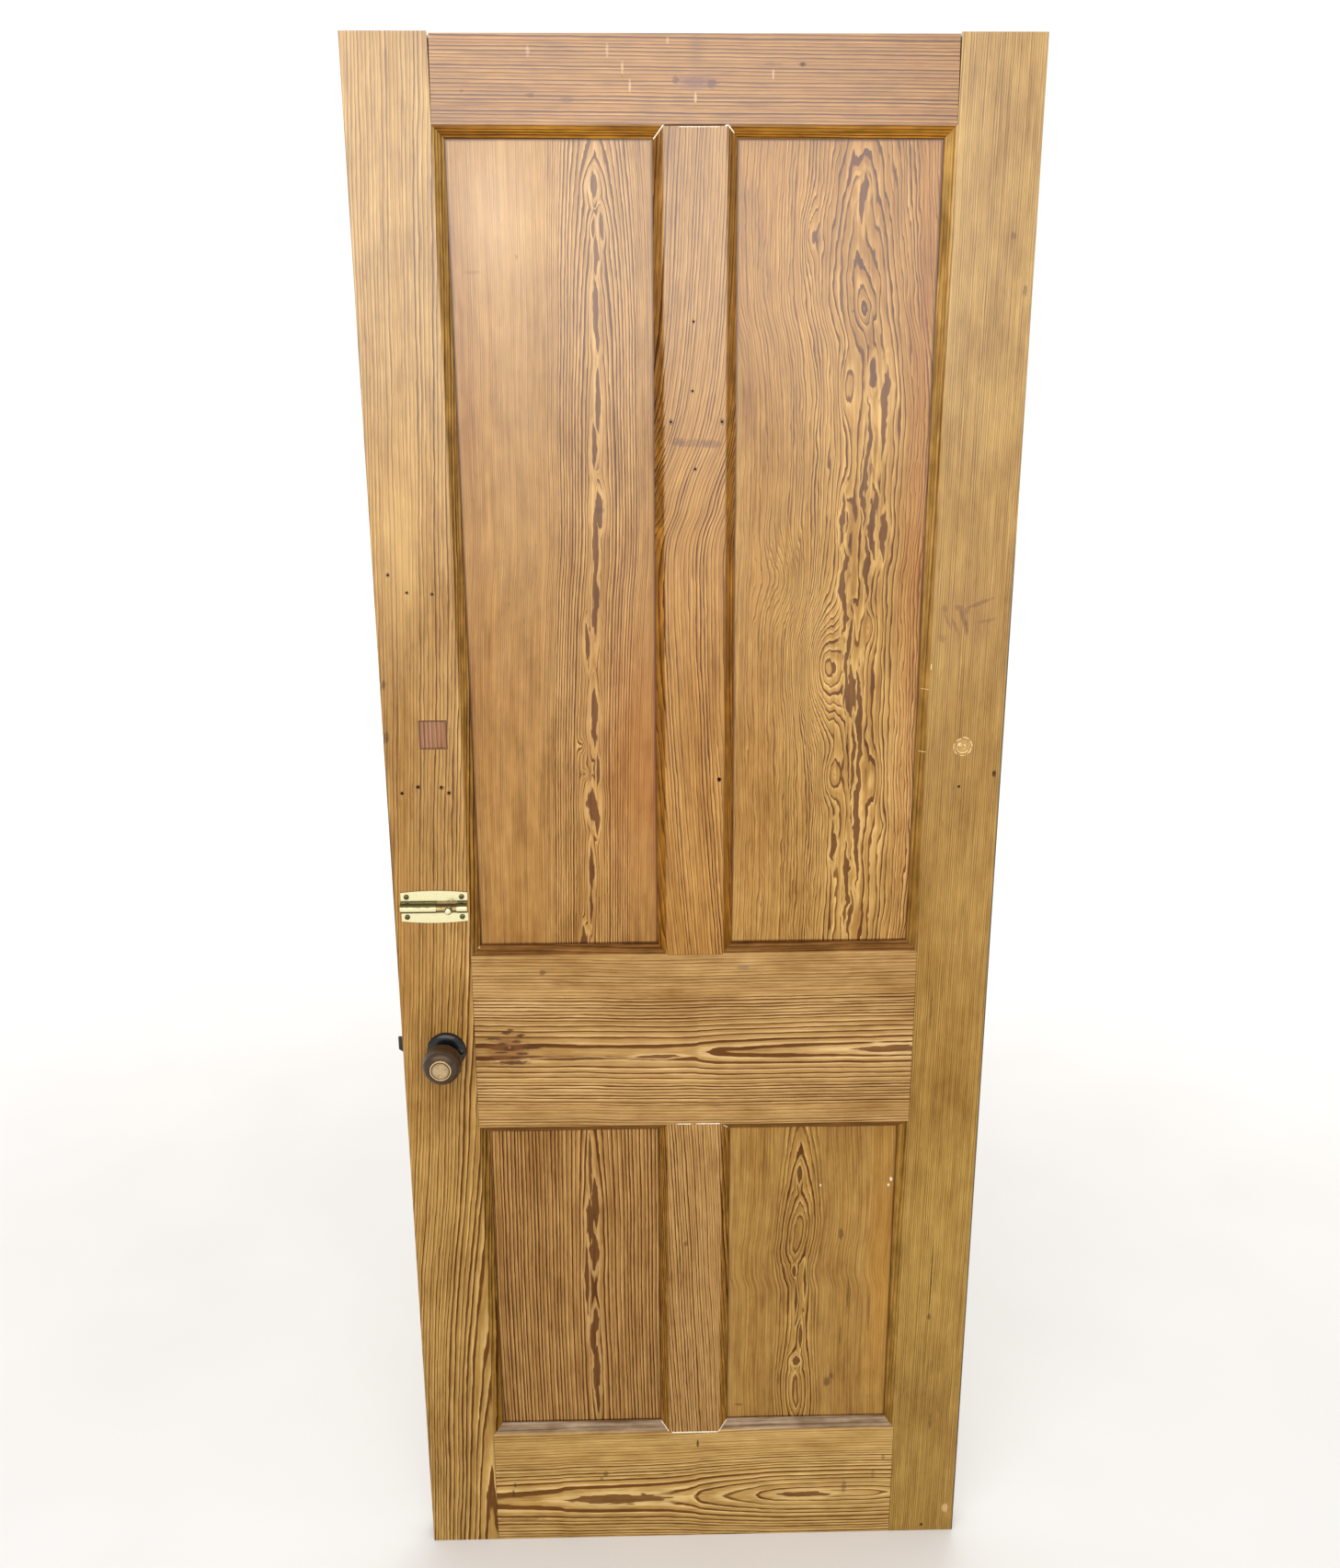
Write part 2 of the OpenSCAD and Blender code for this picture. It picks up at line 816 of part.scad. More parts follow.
// Coil spring behind the latch bolt's lower arm
module latch_spring() {
    turns = 9;
    steps = 16;
    sides = 8;
    n = turns * steps;
    x0 = spring_x0 + wire_r + 0.05;
    x1 = in_x1 - wire_r - 0.05;
    points = [
        for (i = [0 : n], j = [0 : sides - 1])
            let (a = 360 * i / steps, b = 360 * j / sides, r = spring_r + wire_r * cos(b))
            [x0 + (x1 - x0) * i / n + wire_r * sin(b), r * cos(a), r * sin(a)]
    ];
    faces = concat(
        [[for (j = [0 : sides - 1]) j]],
        [[for (j = [0 : sides - 1]) n * sides + sides - 1 - j]],
        [for (i = [0 : n - 1], j = [0 : sides - 1])
            [i * sides + j, (i + 1) * sides + j, (i + 1) * sides + (j + 1) % sides]],
        [for (i = [0 : n - 1], j = [0 : sides - 1])
            [i * sides + j, (i + 1) * sides + (j + 1) % sides, i * sides + (j + 1) % sides]]
    );
    color([0.5, 0.5, 0.52])
        translate([hx, 0, hz + spring_z])
            polyhedron(points, faces);
}

// Folded case, open at the front end and on the cover's side
module latch_case() {
    color([0.45, 0.43, 0.40])
        translate([hx, 0, hz])
            difference() {
                union() {
                    difference() {
                        translate([case_x0, -in_y, -case_h / 2])
                            cube([case_x1 - case_x0, in_y + case_t / 2, case_h]);
                        translate([case_x0 - eps, -in_y - eps, -in_z])
                            cube([in_x1 - case_x0 + eps, 2 * in_y + eps, 2 * in_z]);
                    }
                    for (p = posts)
                        translate([p[0], in_y + case_wall / 2, p[1]])
                            rotate([90, 0, 0])
                                cylinder(r = post_r, h = 2 * in_y + case_wall / 2);
                    translate([in_x1 + case_wall / 2, 0, spring_z])
                        rotate([0, -90, 0])
                            cylinder(r = spigot_r, h = 5 + case_wall / 2);
                }
                rotate([90, 0, 0])
                    cylinder(r = trunnion_r + run / 2, h = 2 * case_t, center = true);
                for (p = posts)
                    translate([p[0], 0, p[1]])
                        rotate([90, 0, 0])
                            cylinder(r = 1.05, h = in_y + eps);
            }
}

module latch_cover() {
    color([0.47, 0.45, 0.42])
        translate([hx, 0, hz])
            difference() {
                translate([case_x0, -case_t / 2, -case_h / 2])
                    cube([case_x1 - case_x0, case_wall, case_h]);
                rotate([90, 0, 0])
                    cylinder(r = trunnion_r + run / 2, h = 2 * case_t, center = true);
                for (p = posts)
                    translate([p[0], -case_t / 2, p[1]])
                        rotate([90, 0, 0])
                            flat_screw_hole(2.05, 1.05, case_wall + eps);
            }
}

module latch_cover_screws() {
    color([0.5, 0.48, 0.45])
        translate([hx, 0, hz])
            for (p = posts)
                translate([p[0], -case_t / 2, p[1]])
                    rotate([90, 0, 0])
                        flat_screw(2, 1, 6);
}

// The two screws of the forend, pointing into the edge
module latch_forend_screw_places() {
    for (s = [-1, 1])
        translate([edge_x - forend_proud, 0, s * forend_screw])
            rotate([0, -90, 0])
                children();
}

module latch_forend() {
    color([0.35, 0.28, 0.20])
        translate([hx, 0, hz])
            difference() {
                translate([edge_x - forend_proud, -forend_w / 2, -forend_h / 2])
                    cube([forend_t, forend_w, forend_h]);
                translate([edge_x - forend_proud - eps, -latch_t / 2 - run, -latch_h / 2 - run])
                    cube([forend_t + 2 * eps, latch_t + 2 * run, latch_h + 2 * run]);
                latch_forend_screw_places()
                    flat_screw_hole(4.05, 2.05, forend_t + eps);
            }
}

module latch_forend_screws() {
    color([0.4, 0.33, 0.24])
        translate([hx, 0, hz])
            latch_forend_screw_places()
                flat_screw(4, 2, forend_screw_len);
}

// Outline of the shoot's end, flat at the bottom, standing up from Y = 0
module shoot_outline(r, side) {
    translate([-r, 0])
        square([2 * r, side]);
    translate([0, side])
        intersection() {
            circle(r);
            translate([-r - eps, -0.01])
                square([2 * r + 2 * eps, r + eps]);
        }
}

// A bar with that outline along +X, its flat at Z = 0
module shoot_bar(r, side, len) {
    rotate([90, 0, 90])
        linear_extrude(len)
            shoot_outline(r, side);
}

// Places the barrel bolt: +Z stands out of the front face, X from the plate's left end
module at_bolt() {
    translate([px - plate_w / 2, 0, pz])
        out_front()
            children();
}

module bolt_plate_screw_places() {
    at_bolt()
        for (x = [-1, 1], z = [-1, 1])
            translate([plate_w / 2 + x * plate_screw_x / 2, z * plate_screw_z / 2, plate_t])
                children();
}

// Brass plate with arched long edges and the two sleeves of the shoot
module bolt_plate() {
    rise = (plate_h - plate_end_h) / 2;
    arch_r = (plate_w * plate_w / 4 + rise * rise) / (2 * rise);
    color([0.86, 0.78, 0.48])
        at_bolt()
            difference() {
                union() {
                    intersection() {
                        translate([0, -plate_h, 0])
                            cube([plate_w, 2 * plate_h, plate_t]);
                        translate([plate_w / 2, plate_h / 2 - arch_r, 0])
                            cylinder(r = arch_r, h = plate_t);
                        translate([plate_w / 2, arch_r - plate_h / 2, 0])
                            cylinder(r = arch_r, h = plate_t);
                    }
                    translate([0, 0, plate_t / 2])
                        shoot_bar(sleeve_out, shoot_side + plate_t / 2 + run, sleeve_l);
                    translate([plate_w - sleeve_r, 0, plate_t / 2])
                        shoot_bar(sleeve_out, shoot_side + plate_t / 2 + run, sleeve_r);
                }
                translate([-eps, 0, plate_t])
                    shoot_bar(sleeve_in, shoot_side + run, plate_w + 2 * eps);
                for (x = [-1, 1], z = [-1, 1])
                    translate([plate_w / 2 + x * plate_screw_x / 2, z * plate_screw_z / 2, -eps])
                        cylinder(r = 1.85, h = plate_t + 2 * eps);
            }
}

module bolt_plate_screws() {
    color([0.30, 0.24, 0.15])
        bolt_plate_screw_places()
            rotate(25)
                round_screw(3.4, 2.2, 1.7, plate_screw_len);
}

module bolt_shoot() {
    color([0.84, 0.76, 0.50])
        at_bolt()
            difference() {
                translate([0.5, 0, shoot_y])
                    shoot_bar(shoot_r, shoot_side, plate_w - 0.5);
                translate([shoot_knob, 0, shoot_y + shoot_h - 5])
                    cylinder(r = 2.05, h = 8);
            }
}

// Small turned knob, screwed into the shoot
module bolt_shoot_knob() {
    top = shoot_y + shoot_h;
    color([0.88, 0.80, 0.52])
        at_bolt()
            translate([shoot_knob, 0, top])
                rotate_extrude()
                    polygon([
                        [0, -4.8], [2, -4.8], [2, 0.2], [3.2, 0.2], [3.2, 1], [2.5, 1.8],
                        [2.5, 3.6], [4, 4.4], [4.8, 5.6], [5, 7], [4.7, 8.4], [3.8, 9.6],
                        [2.4, 10.4], [0, 10.7]
                    ]);
}

lock_stile();
hinge_stile();
top_rail();
lock_rail();
bottom_rail();
upper_muntin();
lower_muntin();
upper_left_panel();
upper_right_panel();
lower_left_panel();
lower_right_panel();
lock_stile_wedges();
hinge_stile_wedges();
square_patch();
front_rose();
back_rose();
front_rose_screws();
back_rose_screws();
front_knob();
back_knob();
front_knob_cap();
back_knob_cap();
knob_grub_screws();
spindle();
latch_follower();
latch_bolt();
latch_spring();
latch_case();
latch_cover();
latch_cover_screws();
latch_forend();
latch_forend_screws();
bolt_plate();
bolt_plate_screws();
bolt_shoot();
bolt_shoot_knob();
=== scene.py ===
# %% [markdown]
# # An old pine door, lit and finished
# The door is already built as solids: stiles, rails, muntins, panels, wedges, a knob latch and a small
# barrel bolt. Here it gets its looks. We could model the wood again in Blender, but the solids already
# have the true sizes, so we load them as a fixed frame and only add finish, wear and small repairs.

# %% Load the door
import math
import random
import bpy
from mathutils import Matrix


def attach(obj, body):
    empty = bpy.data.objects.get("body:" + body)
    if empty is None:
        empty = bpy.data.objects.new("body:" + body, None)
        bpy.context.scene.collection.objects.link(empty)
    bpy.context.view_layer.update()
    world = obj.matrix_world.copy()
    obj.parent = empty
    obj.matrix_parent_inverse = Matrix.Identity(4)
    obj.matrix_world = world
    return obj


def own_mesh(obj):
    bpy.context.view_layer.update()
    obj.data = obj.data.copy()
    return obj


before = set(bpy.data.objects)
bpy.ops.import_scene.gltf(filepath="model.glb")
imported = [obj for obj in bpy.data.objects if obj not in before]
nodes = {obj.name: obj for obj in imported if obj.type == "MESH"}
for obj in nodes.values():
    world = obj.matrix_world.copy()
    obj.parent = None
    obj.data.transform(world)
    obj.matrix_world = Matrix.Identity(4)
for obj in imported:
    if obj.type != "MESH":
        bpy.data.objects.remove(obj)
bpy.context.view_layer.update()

from types import SimpleNamespace

import bmesh
import bpy
from mathutils import Matrix, Vector

MM = 0.001
scene = bpy.context.scene

# %% [markdown]
# ## Where the viewer stands
# The door is seen from chest height a pace and a half away, with the camera tipped down about 15 degrees,
# so the verticals lean together towards the floor. A camera can be aimed with a constraint, but here the
# three directions are known, so the matrix is written out from "ahead" and "up".

# %% Camera
IMAGE_LONG_PX = 1705
FOCAL_PX = 1425.6
eye = Vector((-63.6, -1584.8, 1577.3)) * MM
ahead = Vector((0.0202, 0.9638, -0.2657)).normalized()
upward = Vector((0.00987, 0.26559, 0.96404))
right = ahead.cross(upward).normalized()
upward = right.cross(ahead)
view = bpy.data.cameras.new("viewer")
view.sensor_width = 36
view.lens = view.sensor_width * FOCAL_PX / IMAGE_LONG_PX
viewer = bpy.data.objects.new("viewer", view)
viewer.matrix_world = Matrix((
    (right.x, upward.x, -ahead.x, eye.x),
    (right.y, upward.y, -ahead.y, eye.y),
    (right.z, upward.z, -ahead.z, eye.z),
    (0, 0, 0, 1)))
scene.collection.objects.link(viewer)
scene.camera = viewer
print("lens in mm:", round(view.lens, 2))

# %% [markdown]
# ## Soft windows
# The varnish is brightest and palest near the top and deepens towards the floor. That is what one big
# soft window high behind the viewer does: its light falls off down the door and its mirror image lies in
# the upper part of the gloss. A sky texture would be harder to steer, so a large area light is used, and a
# second one lights the back.

# %% Windows
scene.view_settings.view_transform = "Standard"


def soft_window(name, place, target, size, watts, colour):
    lamp = bpy.data.lights.new(name, "AREA")
    lamp.shape = "RECTANGLE"
    lamp.size, lamp.size_y = size
    lamp.energy = watts
    lamp.color = colour
    holder = bpy.data.objects.new(name, lamp)
    holder.location = place
    holder.rotation_euler = (Vector(target) - Vector(place)).to_track_quat("-Z", "Y").to_euler()
    scene.collection.objects.link(holder)


soft_window("high_window", place=(-0.5, -2.1, 2.3), target=(-0.1, 0, 2.2), size=(2.8, 1.4), watts=43,
            colour=(1.0, 0.98, 0.97))
soft_window("back_window", place=(0.8, 3.4, 3.0), target=(0, 0, 1.2), size=(3.0, 2.0), watts=45,
            colour=(1.0, 0.98, 0.96))

# %% [markdown]
# ## A pale room
# Round the door stands a dim, nearly white room, which fills the shadows. The viewer should see clean white
# behind the door, and a brighter room would wash the wood out. So the world has two backgrounds: one lights
# the door and the other is only looked at. Light Path tells them apart.

# %% Room
ROOM_GLOW, BACKDROP_GLOW = 0.80, 1.05
room = bpy.data.worlds.new("pale_room")
room.use_nodes = True
scene.world = room
room_nodes, room_links = room.node_tree.nodes, room.node_tree.links
dim = room_nodes["Background"]
dim.inputs["Color"].default_value = (1.0, 0.99, 0.97, 1)
dim.inputs["Strength"].default_value = ROOM_GLOW
white = room_nodes.new("ShaderNodeBackground")
white.inputs["Color"].default_value = (1, 1, 1, 1)
white.inputs["Strength"].default_value = BACKDROP_GLOW
seen = room_nodes.new("ShaderNodeLightPath")
either = room_nodes.new("ShaderNodeMixShader")
room_links.new(seen.outputs["Is Camera Ray"], either.inputs[0])
room_links.new(dim.outputs[0], either.inputs[1])
room_links.new(white.outputs[0], either.inputs[2])
room_links.new(either.outputs[0], room_nodes["World Output"].inputs["Surface"])
print("room glow:", ROOM_GLOW, "backdrop:", BACKDROP_GLOW)

# %% [markdown]
# ## Writing a finish as a formula
# A procedural finish is a tree of small nodes. Wiring dozens of Math nodes by hand is hard to read, so
# `Flow` wraps one value in the tree and lets `+ - * /` add the nodes. The wood below then reads like the
# sum on paper that it is.

# %% A value to calculate with


class Flow:
    """One value in a shader tree; arithmetic on it adds Math nodes."""

    def __init__(self, tree, socket):
        self.tree = tree
        self.socket = socket

    def math(self, operation, *others):
        node = self.tree.nodes.new("ShaderNodeMath")
        node.operation = operation
        for socket, value in zip(node.inputs, (self, *others)):
            feed(self.tree, socket, value)
        return Flow(self.tree, node.outputs[0])

    def __add__(self, other):
        return self.math("ADD", other)

    def __sub__(self, other):
        return self.math("SUBTRACT", other)

    def __rsub__(self, other):
        return (self * -1.0) + other

    def __mul__(self, other):
        return self.math("MULTIPLY", other)

    def __truediv__(self, other):
        return self.math("DIVIDE", other)

    __radd__ = __add__
    __rmul__ = __mul__


def feed(tree, socket, value):
    """Links a Flow to a socket, or sets a plain number or colour on it."""
    if isinstance(value, Flow):
        tree.links.new(value.socket, socket)
    else:
        socket.default_value = value


print("helpers:", Flow.__name__, feed.__name__)

# %% [markdown]
# ## Steps, noise and lots
# Three things make a dead surface look grown or worn: a soft step from one value to another, noise that
# wanders, and a lot drawn for each item. Map Range, Noise and White Noise give them. They are wrapped here
# with plain names, and the noise is brought to run from -1 to 1, so that adding it moves nothing on average.

# %% Steps, noise and lots


def ramp(value, low, high, start=0.0, end=1.0):
    """A smooth step from start to end as value goes from low to high."""
    node = value.tree.nodes.new("ShaderNodeMapRange")
    node.interpolation_type = "SMOOTHSTEP"
    for name, given in zip(("Value", "From Min", "From Max", "To Min", "To Max"),
                           (value, low, high, start, end)):
        feed(value.tree, node.inputs[name], given)
    return Flow(value.tree, node.outputs["Result"])


def vector_of(x, y, z):
    node = x.tree.nodes.new("ShaderNodeCombineXYZ")
    for socket, value in zip(node.inputs, (x, y, z)):
        feed(x.tree, socket, value)
    return Flow(x.tree, node.outputs[0])


def cloud(x, y, z, detail=1.0, roughness=0.5):
    """Soft 3-D noise from -1 to 1, one lump about one unit wide."""
    node = x.tree.nodes.new("ShaderNodeTexNoise")
    feed(x.tree, node.inputs["Vector"], vector_of(x, y, z))
    node.inputs["Scale"].default_value = 1.0
    node.inputs["Detail"].default_value = detail
    node.inputs["Roughness"].default_value = roughness
    return Flow(x.tree, node.outputs[0]) * 2.0 - 1.0


def drift(value, detail=1.0):
    """Soft noise along one value, from -1 to 1."""
    node = value.tree.nodes.new("ShaderNodeTexNoise")
    node.noise_dimensions = "1D"
    feed(value.tree, node.inputs["W"], value)
    node.inputs["Scale"].default_value = 1.0
    node.inputs["Detail"].default_value = detail
    return Flow(value.tree, node.outputs[0]) * 2.0 - 1.0


def lot(value):
    """A fixed random number from 0 to 1 for each whole number."""
    node = value.tree.nodes.new("ShaderNodeTexWhiteNoise")
    node.noise_dimensions = "1D"
    feed(value.tree, node.inputs["W"], value)
    return Flow(value.tree, node.outputs["Value"])


print("helpers:", ", ".join(helper.__name__ for helper in (ramp, cloud, drift, lot)))

# %% [markdown]
# ## Colours and surfaces
# Colours are given as a paint chart gives them, from 0 to 255, and turned into the light values that
# shaders count in. Every finish starts from the same empty material, which also knows where each point lies
# on the door in millimetres. Image maps could hold the colours instead, but a formula stays sharp at any
# distance.

# %% Colours and surfaces


def paint(red, green, blue):
    """A colour as a paint chart gives it, 0 to 255, turned into light values."""
    def light(v):
        v = v / 255
        return v / 12.92 if v <= 0.04045 else ((v + 0.055) / 1.055) ** 2.4
    return (light(red), light(green), light(blue), 1.0)


def tint(share, first, second):
    """Mixes two colours by a share."""
    tree = share.tree
    node = tree.nodes.new("ShaderNodeMix")
    node.data_type = "RGBA"
    feed(tree, node.inputs[0], share)
    feed(tree, node.inputs[6], first)
    feed(tree, node.inputs[7], second)
    return Flow(tree, node.outputs[2])


def brighten(colour, factor):
    """A colour made brighter or darker by one factor."""
    node = colour.tree.nodes.new("ShaderNodeVectorMath")
    node.operation = "SCALE"
    feed(colour.tree, node.inputs[0], colour)
    feed(colour.tree, node.inputs["Scale"], factor)
    return Flow(colour.tree, node.outputs[0])


def filter_by(colour, factors):
    """A colour multiplied by factors, one for each of red, green and blue."""
    node = colour.tree.nodes.new("ShaderNodeVectorMath")
    node.operation = "MULTIPLY"
    feed(colour.tree, node.inputs[0], colour)
    feed(colour.tree, node.inputs[1], factors)
    return Flow(colour.tree, node.outputs[0])


def new_finish(name):
    """An empty material with its surface shader, and the place on the object in millimetres."""
    finish = bpy.data.materials.new(name)
    finish.use_nodes = True
    tree = finish.node_tree
    shader = tree.nodes["Principled BSDF"]
    where = tree.nodes.new("ShaderNodeTexCoord")
    split = tree.nodes.new("ShaderNodeSeparateXYZ")
    tree.links.new(where.outputs["Object"], split.inputs[0])
    x, y, z = (Flow(tree, socket) * (1 / MM) for socket in split.outputs)
    return finish, shader, x, y, z


def relief(shader, height, strength, depth_mm):
    """Bump on the surface from a height value."""
    tree = height.tree
    node = tree.nodes.new("ShaderNodeBump")
    node.inputs["Strength"].default_value = strength
    node.inputs["Distance"].default_value = depth_mm * MM
    feed(tree, node.inputs["Height"], height)
    tree.links.new(node.outputs[0], shader.inputs["Normal"])


FLOOR_WARM, FLOOR_PALE = paint(238, 237, 235), paint(243, 242, 240)
print("floor paint as light:", [round(c, 3) for c in FLOOR_WARM])

# %% [markdown]
# ## The floor
# A plain pale floor with a hint of mottling, so that it doesn't look like a computer's white. Far from the
# door it glows a little, as a studio's floor does where it runs into the lit backdrop, so no horizon shows.
# A curved backdrop would do the same, but a flat square needs only four corners.

# %% Floor
FLOOR_REACH_M = 30
FLOOR_DROP_M = 0.0005
GLOW_NEAR_MM, GLOW_FAR_MM, FLOOR_GLOW = 800, 4500, 0.42
floor_mesh = bpy.data.meshes.new("floor")
floor_mesh.from_pydata(
    [(x * FLOOR_REACH_M, y * FLOOR_REACH_M, -FLOOR_DROP_M) for x, y in ((-1, -1), (1, -1), (1, 1), (-1, 1))],
    [], [(0, 1, 2, 3)])
floor = bpy.data.objects.new("floor", floor_mesh)
scene.collection.objects.link(floor)

floor_finish, floor_shader, fx, fy, fz = new_finish("pale_floor")
feed(fx.tree, floor_shader.inputs["Base Color"],
     tint(ramp(cloud(fx * 0.004, fy * 0.004, fz), -1, 1), FLOOR_WARM, FLOOR_PALE))
floor_shader.inputs["Roughness"].default_value = 0.7
floor_shader.inputs["Emission Color"].default_value = (1, 1, 1, 1)
feed(fx.tree, floor_shader.inputs["Emission Strength"],
     ramp((fx * fx + fy * fy).math("SQRT"), GLOW_NEAR_MM, GLOW_FAR_MM, 0.0, FLOOR_GLOW))
floor_mesh.materials.append(floor_finish)
print("floor in m:", 2 * FLOOR_REACH_M)

# %% [markdown]
# ## Shapes on a board's face
# A board has three directions: across it, along its grain and into its depth. Three shapes are drawn with
# them: a line that wanders along the board through a few points, a soft spot, and the pointed patches of
# dark wood in a flame. Painting them on an image would be quicker to start with; as formulas they keep
# their places in millimetres.

# %% Shapes on a board


def along_board(position, points):
    """A value that changes along the board, drawn through (position, value) points in millimetres."""
    if len(points) == 1:
        return points[0][1]
    tree = position.tree
    points = sorted(points)
    first, last = points[0][0], points[-1][0]
    low = min(v for _, v in points)
    high = max(v for _, v in points) + 1e-3
    node = tree.nodes.new("ShaderNodeFloatCurve")
    curve = node.mapping.curves[0]
    stops = [((p - first) / (last - first), (v - low) / (high - low)) for p, v in points]
    curve.points[0].location = stops[0]
    curve.points[1].location = stops[-1]
    for stop in stops[1:-1]:
        curve.points.new(*stop)
    for point in curve.points:
        point.handle_type = "AUTO_CLAMPED"
    node.mapping.update()
    feed(tree, node.inputs["Value"], (position - first) / (last - first))
    return Flow(tree, node.outputs[0]) * (high - low) + low


def spot(across, along, place, turn=0.0):
    """A soft spot: place is (across, along, half width, half length), and turn is in degrees."""
    across_at, along_at, wide, long = place
    a, b = across - across_at, along - along_at
    if turn:
        c, s = math.cos(math.radians(turn)), math.sin(math.radians(turn))
        a, b = a * c + b * s, b * c - a * s
    a, b = a / wide, b / long
    return ((a * a + b * b) * -1.0).math("EXPONENT")


def pointed_patches(across, along, patches, slim):
    """Above 0 inside long pointed patches, and falling away below 0 around them."""
    field = None
    for across_at, along_at, wide, long in patches:
        b = (along - along_at) / (long * slim[1])
        lens = 1.0 - b * b - ((across - across_at) / (wide * slim[0])).math("ABSOLUTE")
        field = lens if field is None else field.math("MAXIMUM", lens)
    return field


print("board shapes:", ", ".join(shape.__name__ for shape in (along_board, spot, pointed_patches)))

# %% [markdown]
# ## Growth rings
# Pine shows pale spring wood and red-brown summer wood. A tree's rings are tubes round its heart, and a
# board is a slice through them: where the slice runs close past the heart the rings open into flames, and
# away from it they are straight lines. A flat stripe texture can't do both, so the finish works out each
# point's distance from a heart line that wanders behind the board, and turns that into rings. The ends
# and edges of the board then show the same rings, as they do on real timber.

# %% Growth rings
PEAK_MM, PEAK_RISE_MM = 5.0, 1.2
# Lumps of noise in the grain, each as wide and as long as this in millimetres.
SWAY_LUMP, TOOTH_LUMP, THREAD_LUMP, BEND_LUMP = (60, 260), (3.4, 21), (1.5, 34), (22, 34)
WAVE_WIDTH_MM, WAVE_LENGTH_MM = 13, 85


def grain_noise(wood, lump, seed, detail=1.0, roughness=0.5):
    """Noise drawn out along the grain, in lumps of (width, length)."""
    wide, long = lump
    return cloud(wood.aside / wide, wood.depth / wide + seed, wood.along / long, detail, roughness)


def grow_rings(wood, board):
    """Gives each point its distance from the heart, its ring's number and its place in that ring."""
    seed = board["seed"]
    sway, wave, fibre = board.get("sway", (2.0, 0.6, 0.22))
    wood.aside = wood.across - along_board(wood.along, board["heart"])
    behind = wood.depth - along_board(wood.along, board["pith"])
    away = (wood.aside * wood.aside + behind * behind).math("SQRT")
    away = away - (wood.aside.math("ABSOLUTE") / -PEAK_MM).math("EXPONENT") * PEAK_RISE_MM
    away = away + grain_noise(wood, SWAY_LUMP, seed) * sway
    wave_lump = (WAVE_WIDTH_MM, board.get("wave_length", WAVE_LENGTH_MM))
    away = away + grain_noise(wood, wave_lump, -seed, 2.0) * wave
    teeth = grain_noise(wood, TOOTH_LUMP, -seed)
    wood.thread = grain_noise(wood, THREAD_LUMP, seed, 2.0, 0.6)
    away = away + teeth * (fibre * 1.3) + wood.thread * fibre
    for *place, push in board.get("swirls", []):
        away = away + spot(wood.across, wood.along, place) * push
    wood.patches = None
    if "patches" in board:
        bent = wood.across + grain_noise(wood, BEND_LUMP, seed, 2.0) * board.get("meander", 1.0)
        patches = pointed_patches(bent, wood.along, board["patches"], board.get("slim", (1.0, 1.15)))
        behind_face = ramp(wood.depth, 15.0, 25.0)
        wood.patches = patches + teeth * 0.7 + wood.thread * 0.3 - behind_face * 5.0
        away = away - ramp(wood.patches, -3.2, 0.2) * board.get("rise", 3.0)
    near, far, change = board["ring"]
    count = away.math("MINIMUM", change) / near + (away - change).math("MAXIMUM", 0.0) / far
    count = count + drift(count * 0.45 + seed * 3.1) * 0.3
    wood.away, wood.count, wood.number = away, count, count.math("FLOOR")
    wood.place = count - wood.number


print("waves in the rings, mm wide and long:", WAVE_WIDTH_MM, WAVE_LENGTH_MM)

# %% [markdown]
# ## Spring and summer wood
# In each ring the summer wood darkens slowly and stops short. Some years are strong and some are faint, so
# every ring draws its own lot. Broad bands of rings run warmer or cooler. A colour ramp over the ring would
# make all years alike, so the step's start moves with the lot.

# %% Spring and summer wood
SUMMER_START, SUMMER_LATE, SUMMER_RISE, SUMMER_STOP = 0.50, 0.22, 0.16, 0.96
SPRING_COOL = (1.08, 1.10, 1.14)
SPRING_WARM = (1.04, 1.01, 0.92)
SPRING_PALE = (1.46, 1.64, 2.10)
SUMMER_DARK = (0.32, 0.19, 0.06)


def shade(colour, factors):
    """A plain colour darkened or lightened by one factor for each of red, green and blue."""
    return (*(c * f for c, f in zip(colour, factors)), 1.0)


def ring_colours(wood, board):
    """Pale spring wood and dark summer wood, ring by ring, in the board's own tone."""
    seed, tone = board["seed"], board["tone"]
    strong = lot(wood.number + seed * 17.0)
    start = SUMMER_START + (1.0 - strong) * SUMMER_LATE
    summer = ramp(wood.place, start, start + SUMMER_RISE) * ramp(wood.place, SUMMER_STOP, 1.0, 1.0, 0.0)
    bands = drift(wood.count * 0.16 + seed * 5.7, 2.0)
    vigour = (0.50 + 0.50 * strong) * (bands * 0.30 + 1.0) * board["contrast"]
    clear, faint, kept = board.get("fades", (40, 90, 1.0))
    vigour = vigour * ramp(wood.away, clear, faint, 1.0, kept)
    summer = (summer * vigour).math("MINIMUM", 1.0)
    pale = (ramp(wood.place, 0.0, 0.45, 1.0, 0.0) * vigour).math("MINIMUM", 1.0)
    if wood.patches is not None:
        halo = ramp(wood.patches, *board.get("glow", (-1.3, -0.4)))
        dark_patch = ramp(wood.patches, -0.05, 0.12, 0.0, 0.92)
        summer = (summer * (1.0 - halo * 0.8)).math("MAXIMUM", dark_patch)
        pale = pale.math("MAXIMUM", halo * 0.9)
    wood.summer = summer
    spring = tint(ramp(bands, -0.7, 0.7), shade(tone, SPRING_COOL), shade(tone, SPRING_WARM))
    colour = tint(pale, spring, shade(tone, SPRING_PALE))
    return tint(summer, colour, shade(tone, SUMMER_DARK))


print("summer wood takes", round(SUMMER_STOP - SUMMER_START, 2), "of a strong ring")
